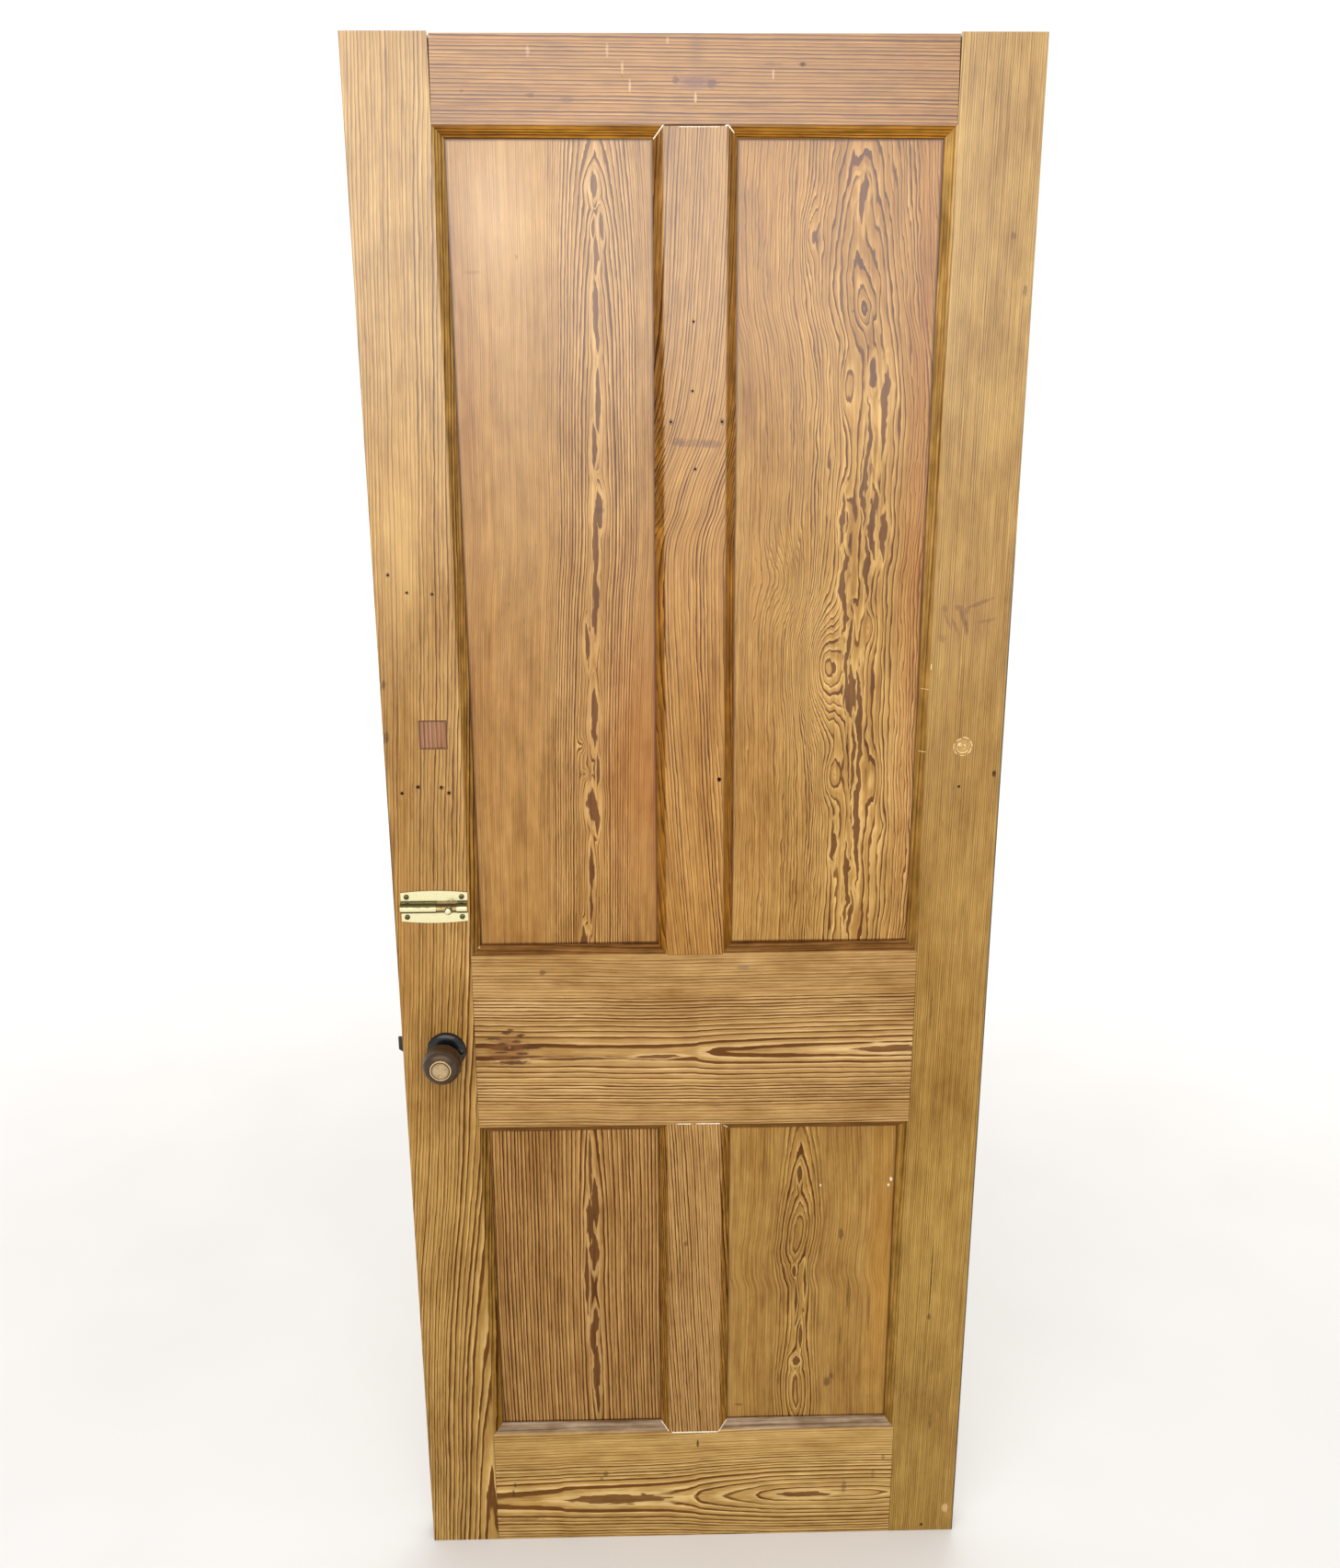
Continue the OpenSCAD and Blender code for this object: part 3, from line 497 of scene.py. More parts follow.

# %% [markdown]
# ## Fibre and age
# Over the rings lie fine fibre streaks, mottling and broad blotches where the varnish has sunk in unevenly.
# A few stops along the board then filter red, green and blue. They are painted light: mostly a paler, bluer sheen
# towards the top and painted shade lower down. Lights alone could make the top paler, but not less yellow.

# %% Fibre, and painted sheen and shade
FIBRE_DARK = (0.62, 0.52, 0.36)
FIBRE_PALE = (1.38, 1.48, 1.68)
STREAK_LUMP, MOTTLE_LUMP, BLOTCH_LUMP, FLECK_LUMP = (3.0, 120), (16, 42), (70, 190), (0.9, 11)
STREAK_SHARE, MOTTLE_SHARE, BLOTCH_SHARE, THREAD_SHARE, FLECK_SHARE = 1.5, 0.8, 0.9, 0.2, 0.6


def fibre_and_painted_light(wood, board, colour):
    """The rings' colours broken up by fibre, then made paler or deeper along the board by painted sheen and
    shade.
    """
    seed = board["seed"]
    wide, long = STREAK_LUMP
    wood.streak = cloud(wood.aside / wide, wood.depth / wide, wood.along / long + seed, 3.0, 0.65)
    wood.blotch = grain_noise(wood, BLOTCH_LUMP, -seed, 2.0)
    wood.mottle = grain_noise(wood, MOTTLE_LUMP, seed, 2.0, 0.6)
    fleck = ramp(grain_noise(wood, FLECK_LUMP, seed), 0.30, 0.62)
    fibre = wood.streak * STREAK_SHARE + wood.mottle * MOTTLE_SHARE + wood.blotch * BLOTCH_SHARE
    fibre = fibre + wood.thread * THREAD_SHARE - fleck * FLECK_SHARE
    colour = tint(fibre * 0.5 + 0.5, filter_by(colour, FIBRE_DARK), filter_by(colour, FIBRE_PALE))
    # Painted light: these stops copy the sheen and shade on each board at a few heights, mostly paler and bluer
    # near the top and deeper lower down.
    if "ages" in board:
        filters = (along_board(wood.along, [(at, rgb[i]) for at, rgb in board["ages"]]) for i in range(3))
        colour = filter_by(colour, vector_of(*filters))
    return colour


print("fibre streaks in mm:", STREAK_LUMP)

# %% [markdown]
# ## Stains, knots and handling
# Washes are soft changes of colour. Marks are ragged: knots, the rust of old nails, dirt in dents and scuffs,
# and they lie on the front face only. Arrises, the long outer edges, are drawn dark along stretches: worn by
# hands beside the bolt, and dark grey down the hinge edge. Each is a spot or a line torn up by fine noise,
# because a clean ellipse always looks like a sticker.

# %% Stains, knots and handling
FACE_Y_MM = -20.0
MARK_BROWN = paint(70, 42, 20)
TORN_LUMP = (1.6, 7.0)
ARRIS_FADE_MM, ARRIS_FRAY_MM = 40, 60.0


def ragged_mark(wood, colour, across_at, along_at, wide, long, strength, stain=MARK_BROWN, turn=0.0):
    """A spot on the front face with a torn outline."""
    body = spot(wood.across, wood.along, (across_at, along_at, wide, long), turn)
    ragged = body * (1.0 + wood.torn * 0.8) + wood.torn * 0.35 + wood.thread * 0.2
    in_front = ramp(wood.depth, 14.5, 19.0, 1.0, 0.0)
    return tint(ramp(ragged, 0.25, 0.70) * in_front * strength, colour, stain)


def dark_arris(wood, colour, across_at, low, high, strength, stain):
    """A dark line on the front arris from low to high along the board."""
    line = ramp((wood.across - across_at).math("ABSOLUTE"), 0.9, 2.6, 1.0, 0.0)
    line = line * ramp(wood.depth + wood.torn, 1.5, 4.5, 1.0, 0.0)
    frayed = wood.along + wood.torn * ARRIS_FRAY_MM
    line = line * ramp(frayed, low - ARRIS_FADE_MM, low + ARRIS_FADE_MM)
    line = line * ramp(frayed, high - ARRIS_FADE_MM, high + ARRIS_FADE_MM, 1.0, 0.0)
    return tint(line * strength, colour, stain)


def stains(wood, board, colour):
    """All that has happened to the board: washes, marks and dark arrises."""
    for *place, strength, wash in board.get("washes", []):
        colour = tint(spot(wood.across, wood.along, place) * strength, colour, wash)
    wood.torn = grain_noise(wood, TORN_LUMP, -board["seed"], 3.0, 0.65)
    for mark in board.get("marks", []):
        colour = ragged_mark(wood, colour, *mark)
    for arris in board.get("arrises", []):
        colour = dark_arris(wood, colour, *arris)
    return colour


print("marks are torn into lumps of mm:", TORN_LUMP)

# %% [markdown]
# ## Grime, painted shade and varnish
# Varnish and dirt gather where nobody sands: round a panel's rim and on the bevels, which have gone ochre.
# The dark rim of a panel is also painted shade in its crease, and the bevels' tint is partly painted light,
# deeper where a bevel faces down and bluer where it faces up. The bevels need no mask: any wood that lies
# between the front face and the back face is bevel. The leaf's own outer edges lie there too, and are let off
# most of it. The varnish itself is a clear coat, glossier towards the top.

# %% Grime, painted shade and varnish
BEVEL_GRIME_AND_LIGHT = (0.62, 0.52, 0.28)
RIM_GRIME_AND_SHADE = (0.40, 0.30, 0.22)
HALF_WIDTH_MM, HEIGHT_MM, THICK_MM = 381.0, 1981.0, 40.0
VARNISH_LOW_MM, VARNISH_HIGH_MM, VARNISH_STRAY_MM = 700, 1850, 300


def grime_and_shade(wood, board, colour):
    """Dirt and painted shade round a panel's rim and on the bevels, and how much varnish is left."""
    # Dirt and painted shade: the wood darkens within a few millimetres of the panel's rim, in the crease.
    if "sight" in board:
        low_across, high_across, low_along, high_along = board["sight"]
        rim = (wood.across - low_across).math("MINIMUM", high_across - wood.across)
        rim = rim.math("MINIMUM", (wood.along - low_along).math("MINIMUM", high_along - wood.along))
        colour = tint(ramp(rim + wood.blotch * 1.2, 0.6, 3.4, 1.0, 0.0), colour, filter_by(colour, RIM_GRIME_AND_SHADE))
    height = wood.z + wood.blotch * VARNISH_STRAY_MM
    wood.varnish = ramp(height, VARNISH_LOW_MM, VARNISH_HIGH_MM, 0.20, 1.0)
    # The bevel filter is dirt in the moulding and painted light as well: deeper where a bevel faces down, bluer
    # where it faces up.
    if board.get("bevelled", True):
        hollow = ramp(wood.depth, 0.5, 2.2) * ramp(wood.depth, THICK_MM - 2.4, THICK_MM - 0.5, 1.0, 0.0)
        side = ramp(wood.x.math("ABSOLUTE"), HALF_WIDTH_MM - 2.5, HALF_WIDTH_MM - 0.7)
        top = ramp(wood.z, HEIGHT_MM - 4.2, HEIGHT_MM - 2.4)
        hollow = hollow * (1.0 - side.math("MAXIMUM", top) * 0.75)
        grimy_and_lit = brighten(colour, 1.0 + wood.mottle * 0.45 + wood.streak * 0.25)
        colour = tint(hollow, colour, filter_by(grimy_and_lit, board.get("bevel", BEVEL_GRIME_AND_LIGHT)))
        wood.varnish = wood.varnish * (1.0 - hollow * 0.8)
    return colour


print("varnish grows glossier from mm:", VARNISH_LOW_MM, "to", VARNISH_HIGH_MM)

# %% [markdown]
# ## From rings to pine
# Now the layers are put together, as a finisher does: bare wood first with its painted sheen and shade, then
# its stains, then grime with painted shade, and the varnish over all. Bump follows the summer wood, which stands
# a little proud because it wears more slowly.
# True displacement would cost millions of faces for a quarter of a millimetre.

# %% Pine


def pine(name, board):
    """One board's finish: rings, fibre, painted sheen and shade, stains, and grime with painted shade, under an
    old varnish.
    """
    finish, shader, x, y, z = new_finish(name)
    across, along = (x, z) if board["runs"] == "up" else (z, x)
    wood = SimpleNamespace(x=x, z=z, across=across, along=along, depth=y - FACE_Y_MM)
    grow_rings(wood, board)
    colour = ring_colours(wood, board)
    for layer in (fibre_and_painted_light, stains, grime_and_shade):
        colour = layer(wood, board, colour)
    feed(x.tree, shader.inputs["Base Color"], colour)
    feed(x.tree, shader.inputs["Specular IOR Level"], wood.varnish * 0.45)
    feed(x.tree, shader.inputs["Coat Weight"], wood.varnish * 0.70)
    shader.inputs["Coat Roughness"].default_value = 0.28
    feed(x.tree, shader.inputs["Roughness"],
         0.46 + wood.blotch * 0.06 + wood.mottle * 0.05 + wood.streak * 0.03 - wood.summer * 0.08)
    uneven = cloud(x / 25, y / 25, z / 40)
    relief(shader, wood.summer * 0.6 + wood.streak * 0.25 + uneven * 0.6, strength=0.35, depth_mm=0.25)
    return finish


print("layers of pine:", ", ".join(f.__name__ for f in (ring_colours, fibre_and_painted_light, stains, grime_and_shade)))

# %% [markdown]
# ## Worn edges
# No edge on an old door is sharp. Bevelling by hand would change the solids, so a stack of modifiers does
# it: Weld joins the split corners, Decimate clears the flat faces of stray lines, Bevel rounds every
# edge, and Weighted Normal keeps the flats looking flat.

# %% Worn edges


def wear_edges(piece, width_mm):
    weld = piece.modifiers.new("join_corners", "WELD")
    weld.merge_threshold = 0.01 * MM
    flat = piece.modifiers.new("clear_flats", "DECIMATE")
    flat.decimate_type = "DISSOLVE"
    flat.angle_limit = math.radians(0.5)
    soft = piece.modifiers.new("worn_edges", "BEVEL")
    soft.width = width_mm * MM
    soft.segments = 2
    soft.limit_method = "ANGLE"
    soft.angle_limit = math.radians(32)
    even = piece.modifiers.new("flat_faces", "WEIGHTED_NORMAL")
    even.keep_sharp = False


PANEL_EDGE_MM, FRAME_EDGE_MM, SMALL_EDGE_MM = 0.5, 0.7, 0.15
print("edges worn in mm:", PANEL_EDGE_MM, FRAME_EDGE_MM, SMALL_EDGE_MM)

# %% [markdown]
# ## How a board is written down
# Each board below is a short list of values in millimetres. `heart` and `pith` say where the tree's heart
# passes: its place across the face, and its depth behind it. `ring` is how wide the rings are near the heart
# and far from it, and where that changes. `fades` thins them out with distance, and `sway` is how far
# they wander, wave and fray. `patches` and `swirls` set down the dark tongues and the eyes. `washes`, `marks`
# and `arrises` are what has happened to the board since. The stops that filter each board's colour along its
# length are painted sheen and shade, and `tone` is its colour on the paint chart. Each board could have its
# own node graph, but as values they all share one recipe.

# %% Board finisher


def put_on(piece, finish):
    piece.data.materials.clear()
    piece.data.materials.append(finish)


def finish_board(name, edge_mm, **board):
    """Gives a wooden piece its pine and its worn edges."""
    put_on(nodes[name], pine(name + "_pine", board))
    wear_edges(nodes[name], edge_mm)
    print(name, "is pine, its edges worn by mm:", edge_mm)


print("boards to finish:", sum(name.endswith(("panel", "stile", "rail", "muntin")) for name in nodes))

# %% [markdown]
# ## Upper left panel
# A tall board with one slim flame. The heart line is a handful of points read off the real board: where
# along its height the flame stands, and how deep the heart lies behind the face there. The heart coming
# nearer draws each flame's tip. Dark pointed patches mark where the cut just grazes a ring.

# %% Upper left panel
finish_board(
    "upper_left_panel", PANEL_EDGE_MM,
    runs="up", seed=1.3, bevelled=False, sight=(-275, -47, 930, 1878),
    contrast=1.6, ring=(3.0, 2.2, 50), fades=(38, 68, 0.30),
    heart=[(1878, -111), (1712, -110), (1587, -112), (1462, -113), (1369, -119), (1275, -124),
           (1156, -128), (1037, -130), (930, -132)],
    pith=[(1878, 48), (1720, 36.5), (1625, 33), (1540, 31), (1462, 30), (1400, 29), (1300, 28),
          (1200, 27), (1100, 26), (1000, 25), (930, 24.5)],
    sway=(1.0, 0.8, 0.40), slim=(0.74, 1.5), glow=(-1.7, -0.5), meander=3.0,
    swirls=[(-139, 1192, 5, 8, 5.0), (-135, 1156, 6, 6, 5.0), (-122, 1184, 5, 6, -4.0)],
    patches=[(-113, 1832, 6, 10), (-104, 1790, 4, 12), (-113, 1788, 3, 8), (-111, 1757, 4, 16),
             (-113, 1704, 5, 26), (-111, 1668, 3, 12), (-112, 1602, 4, 26), (-117, 1550, 4, 18),
             (-113, 1478, 7, 16), (-118, 1435, 4, 36), (-119, 1368, 5, 32), (-130, 1318, 4, 18),
             (-123, 1228, 6, 26), (-120, 1160, 3, 14), (-127, 1118, 9, 16), (-122, 1098, 4, 14),
             (-131, 1030, 4, 22), (-132, 982, 3, 18), (-143, 935, 5, 14)],
    marks=[(-112, 1478, 6, 4, 0.4), (-250, 1741, 10, 2.5, 0.22), (-200, 1757, 2, 3, 0.3)],
    washes=[(-72, 1170, 34, 170, 0.28, paint(178, 100, 40)), (-262, 1480, 14, 330, 0.22, paint(140, 86, 40)),
            (-48, 1180, 4.5, 320, 0.55, paint(122, 56, 22)),
            # The two pale washes at the panel's top left are painted sheen, the varnish's soft reflection.
            (-225, 1800, 46, 70, 0.25, paint(228, 196, 156)), (-205, 1560, 30, 200, 0.14, paint(214, 178, 126))],
    ages=[(930, (0.92, 0.91, 0.88)), (1100, (0.92, 0.91, 0.88)), (1878, (0.98, 1.03, 1.28))],
    tone=paint(161, 117, 58))

# %% [markdown]
# ## Upper right panel
# The wildest board of the door: wide rings, short waves, and eyes where branches began. The rings could
# be drawn one by one, but a few pushes on the distance from the heart bend all the rings around an eye
# together, as growth does.

# %% Upper right panel
finish_board(
    "upper_right_panel", PANEL_EDGE_MM,
    runs="up", seed=4.7, bevelled=False, sight=(47, 275, 930, 1878),
    contrast=1.5, ring=(5.0, 3.3, 48), fades=(50, 84, 0.48),
    heart=[(1878, 187), (1800, 188), (1716, 192), (1637, 205), (1550, 208), (1450, 206), (1337, 202),
           (1250, 203), (1150, 205), (1050, 208), (930, 205)],
    pith=[(1878, 54), (1800, 44), (1745, 37), (1716, 34), (1690, 35), (1637, 38), (1540, 37),
          (1400, 38), (1250, 36), (1120, 37), (1000, 36), (930, 37)],
    sway=(4.0, 4.6, 0.5), rise=2.0, slim=(0.86, 1.4), glow=(-1.5, -0.5), wave_length=62, meander=10.0,
    swirls=[(158, 1287, 28, 60, -42.0), (170, 1150, 12, 30, -14.0), (176, 1612, 9, 40, -12.0),
            (177, 1468, 9, 36, -12.0), (128, 1775, 10, 38, -9.0), (212, 1335, 8, 20, -8.0),
            (104, 1392, 26, 36, 15.0), (224, 1150, 9, 40, -9.0), (194, 1702, 9, 16, -9.0),
            (236, 1085, 8, 16, -5.0)],
    patches=[(187, 1816, 6, 20), (208, 1632, 5, 14), (221, 1588, 6, 38), (203, 1545, 3.5, 46),
             (201, 1500, 3, 36), (212, 1462, 5, 34), (224, 1446, 5, 22), (176, 1466, 3.5, 24),
             (205, 1408, 4, 30), (179, 1378, 4.5, 40), (187, 1296, 3, 52), (194, 1256, 6, 26),
             (203, 1230, 4, 46), (196, 1170, 3.5, 40), (205, 1130, 3.5, 54), (208, 1066, 4, 44),
             (176, 1062, 3.5, 22), (194, 1004, 3.5, 44), (200, 960, 3, 28)],
    washes=[(264, 1450, 16, 420, 0.30, paint(168, 98, 42)), (70, 1300, 24, 360, 0.14, paint(150, 92, 44))],
    marks=[(196, 1700, 2, 3, 0.6), (181, 1699, 2, 2, 0.6)],
    ages=[(930, (0.96, 1.01, 1.24)), (1100, (0.96, 1.01, 1.22)), (1878, (0.83, 0.78, 0.87))],
    tone=paint(168, 123, 55))

# %% [markdown]
# ## Lower left panel
# A short board with bold, even rings that stay strong to its edges, so its contrast is high and hardly
# fades. It lies low on the door, and its tone is deeper.

# %% Lower left panel
finish_board(
    "lower_left_panel", PANEL_EDGE_MM,
    runs="up", seed=7.9, bevelled=False, sight=(-275, -47, 194, 663),
    contrast=1.8, ring=(5.0, 4.8, 45), fades=(70, 130, 0.75),
    heart=[(663, -138), (535, -138), (417, -139), (300, -138), (194, -136)],
    pith=[(663, 33), (600, 31), (535, 29.0), (440, 28), (355, 27), (267, 26), (194, 26)],
    sway=(1.2, 1.0, 0.4), rise=1.5,
    patches=[(-141, 606, 2.6, 48), (-135, 548, 5, 36), (-143, 520, 5, 34), (-138, 470, 6.5, 26),
             (-149, 428, 3, 54), (-138, 362, 4, 22), (-142, 334, 5, 26), (-138, 276, 5, 44),
             (-137, 226, 2.5, 22)],
    tone=paint(150, 109, 55))

# %% [markdown]
# ## Lower right panel
# A quieter board: the rings fade soon away from the heart, and a dip in the heart's depth closes them into
# an island. It has scratches and three chips of pale paint, which are marks like all the others.

# %% Lower right panel
finish_board(
    "lower_right_panel", PANEL_EDGE_MM,
    runs="up", seed=2.2, bevelled=False, sight=(47, 275, 194, 663),
    contrast=1.25, ring=(3.6, 3.6, 55), fades=(22, 40, 0.28),
    heart=[(663, 144), (567, 146), (495, 144), (440, 140), (400, 146), (290, 145), (194, 147)],
    pith=[(663, 42), (600, 36), (567, 32), (530, 26), (495, 22), (455, 27), (430, 32), (350, 33),
          (290, 29), (240, 24), (194, 28)],
    sway=(1.6, 1.4, 0.45),
    patches=[(144, 588, 3, 14), (143, 392, 2.2, 26), (155, 420, 2, 26),
             (151, 330, 2.2, 20), (145, 288, 5, 8), (140, 436, 3, 8)],
    marks=[(203, 494, 4, 9, 0.55), (190, 252, 5, 9, 0.55), (196, 262, 4, 5, 0.4),
           (216, 400, 1.6, 30, 0.55), (207, 330, 1.6, 20, 0.5), (246, 370, 2.2, 34, 0.5),
           (121, 258, 1.6, 12, 0.5), (64, 216, 6, 2.5, 0.5), (269, 579, 2.4, 3, 0.9, paint(240, 226, 196)),
           (266, 570, 1.8, 2.4, 0.9, paint(240, 226, 196)), (173, 571, 1.6, 2, 0.8, paint(240, 226, 196))],
    washes=[(262, 430, 18, 220, 0.30, paint(190, 132, 40))],
    tone=paint(155, 116, 56))

# %% [markdown]
# ## Lock stile
# The frame is cut from plainer stock. This stile carries the knob and the bolt. Its heart lies to one side
# and comes nearer towards the floor, so the grain is straight above and opens below. Old screw holes have
# rusty rims, and hands have darkened the arris beside the bolt.

# %% Lock stile
finish_board(
    "lock_stile", FRAME_EDGE_MM,
    runs="up", seed=3.4, contrast=1.5, ring=(5.2, 3.8, 70), fades=(70, 150, 0.45),
    bevel=(0.62, 0.56, 0.38),
    heart=[(1981, -200), (1300, -222), (680, -255), (300, -284), (0, -296)],
    pith=[(1981, 66), (1300, 54), (680, 42), (300, 32), (0, 24)],
    sway=(3.0, 1.8, 0.4),
    ages=[(0, (0.98, 1.04, 0.86)), (450, (0.98, 1.04, 0.86)), (1000, (0.90, 0.89, 0.70)),
          (1500, (1.0, 1.05, 0.98)), (1850, (1.05, 1.16, 1.18)), (1981, (1.05, 1.16, 1.18))],
    marks=[(-363, 1405, 2.6, 3.4, 0.7), (-342, 1384, 2.4, 2.6, 0.7), (-312, 1382, 2.4, 2.6, 0.7),
           (-362, 1137, 3, 3, 0.7), (-342, 1145, 3, 3, 0.7), (-313, 1144, 3, 3, 0.7),
           (-304, 1137, 3, 3, 0.7), (-376, 1273, 3, 7, 0.7), (-376, 1208, 3, 8, 0.7)],
    arrises=[(-381, 912, 1168, 0.6, MARK_BROWN)],
    washes=[(-324, 1090, 30, 70, 0.12, MARK_BROWN), (-366, 1330, 14, 90, 0.12, MARK_BROWN),
            (-346, 1440, 22, 90, 0.30, paint(232, 192, 124)), (-324, 700, 34, 120, 0.12, MARK_BROWN)],
    tone=paint(162, 120, 66))

# %% [markdown]
# ## Hinge stile
# Nearly straight grain with fine rings, so the heart is set far outside the board. Something brushed past it
# at chest height and left a scuff, which is made of slanted strokes over a soft wash. Its arris is drawn dark
# grey.

# %% Hinge stile
SCUFF_BROWN = paint(112, 76, 42)
finish_board(
    "hinge_stile", FRAME_EDGE_MM,
    runs="up", seed=5.5, contrast=0.6, ring=(2.5, 2.5, 80), bevel=(0.80, 0.75, 0.69),
    heart=[(1981, 560), (0, 540)], pith=[(0, 70)], sway=(1.6, 0.7, 0.3),
    ages=[(0, (0.89, 0.95, 0.79)), (450, (0.89, 0.95, 0.79)), (1000, (0.83, 0.84, 0.68)),
          (1500, (0.95, 1.0, 0.95)), (1850, (1.01, 1.09, 1.10)), (1981, (1.01, 1.09, 1.10))],
    marks=[(356, 1777, 3, 5, 0.5), (372, 1719, 3, 7, 0.5), (342, 1367, 18, 2.6, 0.55, SCUFF_BROWN, 21),
           (323, 1348, 3.0, 18, 0.60, SCUFF_BROWN, 22), (320, 1360, 11, 5, 0.45, SCUFF_BROWN, -20),
           (300, 1361, 3.5, 5, 0.45, SCUFF_BROWN, 10), (298, 1325, 5, 6, 0.40, SCUFF_BROWN, 30),
           (313, 1341, 2.4, 13, 0.50, SCUFF_BROWN, 24), (327, 1337, 2.6, 11, 0.55, SCUFF_BROWN, 8),
           (304, 1346, 2.0, 11, 0.40, SCUFF_BROWN, 26), (352, 1346, 14, 2.4, 0.40, SCUFF_BROWN, 12),
           (329, 1139, 2.2, 2.2, 0.9), (372, 1155, 2.6, 5, 0.85), (309, 834, 2, 30, 0.45),
           (329, 440, 1.2, 62, 0.6), (329, 368, 3, 5, 0.6), (339, 193, 2, 16, 0.5),
           (331, 1190, 12, 11, 0.35, paint(214, 176, 112)), (368, 39, 5, 8, 0.8, paint(220, 184, 132)),
           (335, 10, 3, 3, 0.8)],
    arrises=[(381, -50, 1430, 0.95, paint(62, 64, 66))],
    washes=[(330, 1354, 32, 32, 0.32, paint(146, 98, 56))],
    tone=paint(164, 123, 63))

# %% [markdown]
# ## Top rail
# Rails run across, so their grain is turned by swapping across and along. The top rail is the reddest of
# them, with a bruise in its middle and pale scratches. The two thin dark marks at its ends are the joints
# with the stiles.

# %% Top rail
finish_board(
    "top_rail", FRAME_EDGE_MM,
    runs="across", seed=8.1, contrast=1.15, ring=(3.4, 3.4, 80),
    heart=[(-381, 1772), (381, 1764)], pith=[(0, 66)], sway=(1.0, 0.6, 0.25), bevel=(0.93, 0.84, 0.235),
    marks=[(1932, -2, 10, 24, 0.5, paint(120, 82, 72)), (1934, -22, 5, 4, 0.6, paint(70, 40, 36)),
           (1930, 18, 5, 6, 0.6, paint(74, 40, 36)), (1932, 0, 5, 14, 0.3, paint(84, 50, 48)),
           (1919, -178, 2.5, 5, 0.6), (1914, -139, 4, 9, 0.35), (1949, 84, 2, 12, 0.4),
           (1949, 116, 2.5, 5, 0.6), (1923, -252, 2, 2.5, 0.5),
           (1946, -79, 8, 1.4, 0.5, paint(232, 200, 156)), (1928, -71, 7, 1.4, 0.4, paint(228, 194, 150)),
           (1916, 0, 7, 1.4, 0.6, paint(236, 206, 164)), (1939, 84, 6, 1.3, 0.4, paint(228, 194, 150)),
           (1963, -95, 8, 1.6, 0.28, paint(226, 192, 150)), (1972, -30, 4, 1.6, 0.28, paint(226, 192, 150)),
           (1962, -180, 6, 2, 0.25, paint(226, 192, 150)),
           (1935, -287, 90, 0.7, 0.7), (1935, 287, 90, 0.7, 0.7)],
    washes=[(1966, 0, 20, 8, 0.3, MARK_BROWN)],
    tone=paint(146, 102, 51))

# %% [markdown]
# ## Lock rail
# The wide rail at the knob's height passes close to the heart and carries long tongues of summer wood.
# Beside the knob it has a knot, built from short dark dashes round a brown stain; one round spot would look
# like a burn.

# %% Lock rail
KNOT_BROWN = paint(76, 44, 26)
finish_board(
    "lock_rail", FRAME_EDGE_MM,
    runs="across", seed=6.6, contrast=1.7, ring=(7.0, 4.4, 48), fades=(66, 90, 0.45),
    bevel=(0.45, 0.355, 0.28),
    heart=[(-287, 785), (-150, 783), (0, 780), (150, 781), (287, 782)],
    pith=[(-287, 17.4), (-20, 17.0), (0, 16.4), (6, 15.0), (20, 13.4), (35, 11.8), (60, 11.0), (205, 8.3),
          (212, 7.9), (240, 6.6), (287, 5.4)],
    sway=(0.9, 1.5, 0.35), rise=0.0, patches=[(782, 258, 5, 48), (775, -50, 2.6, 30), (773, -150, 2.0, 60)],
    swirls=[(790, -244, 12, 20, 1.6)],
    marks=[(789, -243, 23, 28, 0.55, paint(124, 80, 44)), (789, -242, 4.0, 10, 0.8, paint(84, 48, 28)),
           (790, -213, 2.3, 15, 0.85, KNOT_BROWN), (769, -240, 3.0, 24, 0.85, KNOT_BROWN),
           (803, -262, 2.0, 13, 0.75, KNOT_BROWN), (812, -246, 2.3, 6, 0.85, KNOT_BROWN),
           (816, -240, 1.8, 4, 0.75, KNOT_BROWN), (808, -227, 2.4, 6, 0.85, KNOT_BROWN),
           (799, -232, 2.0, 7, 0.8, KNOT_BROWN), (796, -251, 1.8, 8, 0.8, KNOT_BROWN),
           (784, -253, 2.0, 8, 0.8, KNOT_BROWN), (782, -225, 2.0, 9, 0.8, KNOT_BROWN),
           (776, -236, 1.8, 8, 0.75, KNOT_BROWN), (791, -242, 2.6, 2.2, 0.55, paint(160, 116, 72)),
           (896, -196, 5, 4, 0.5),
           (900, 62, 3, 10, 0.55, paint(120, 96, 78)), (796, -287, 150, 0.7, 0.7),
           (796, 287, 150, 0.7, 0.7)],
    tone=paint(164, 126, 72))

# %% [markdown]
# ## Bottom rail
# The heart runs out of the face here, so the tongues follow one another along the rail. That takes more points
# than elsewhere, each a step in the heart's depth that sets down one tongue's tip.

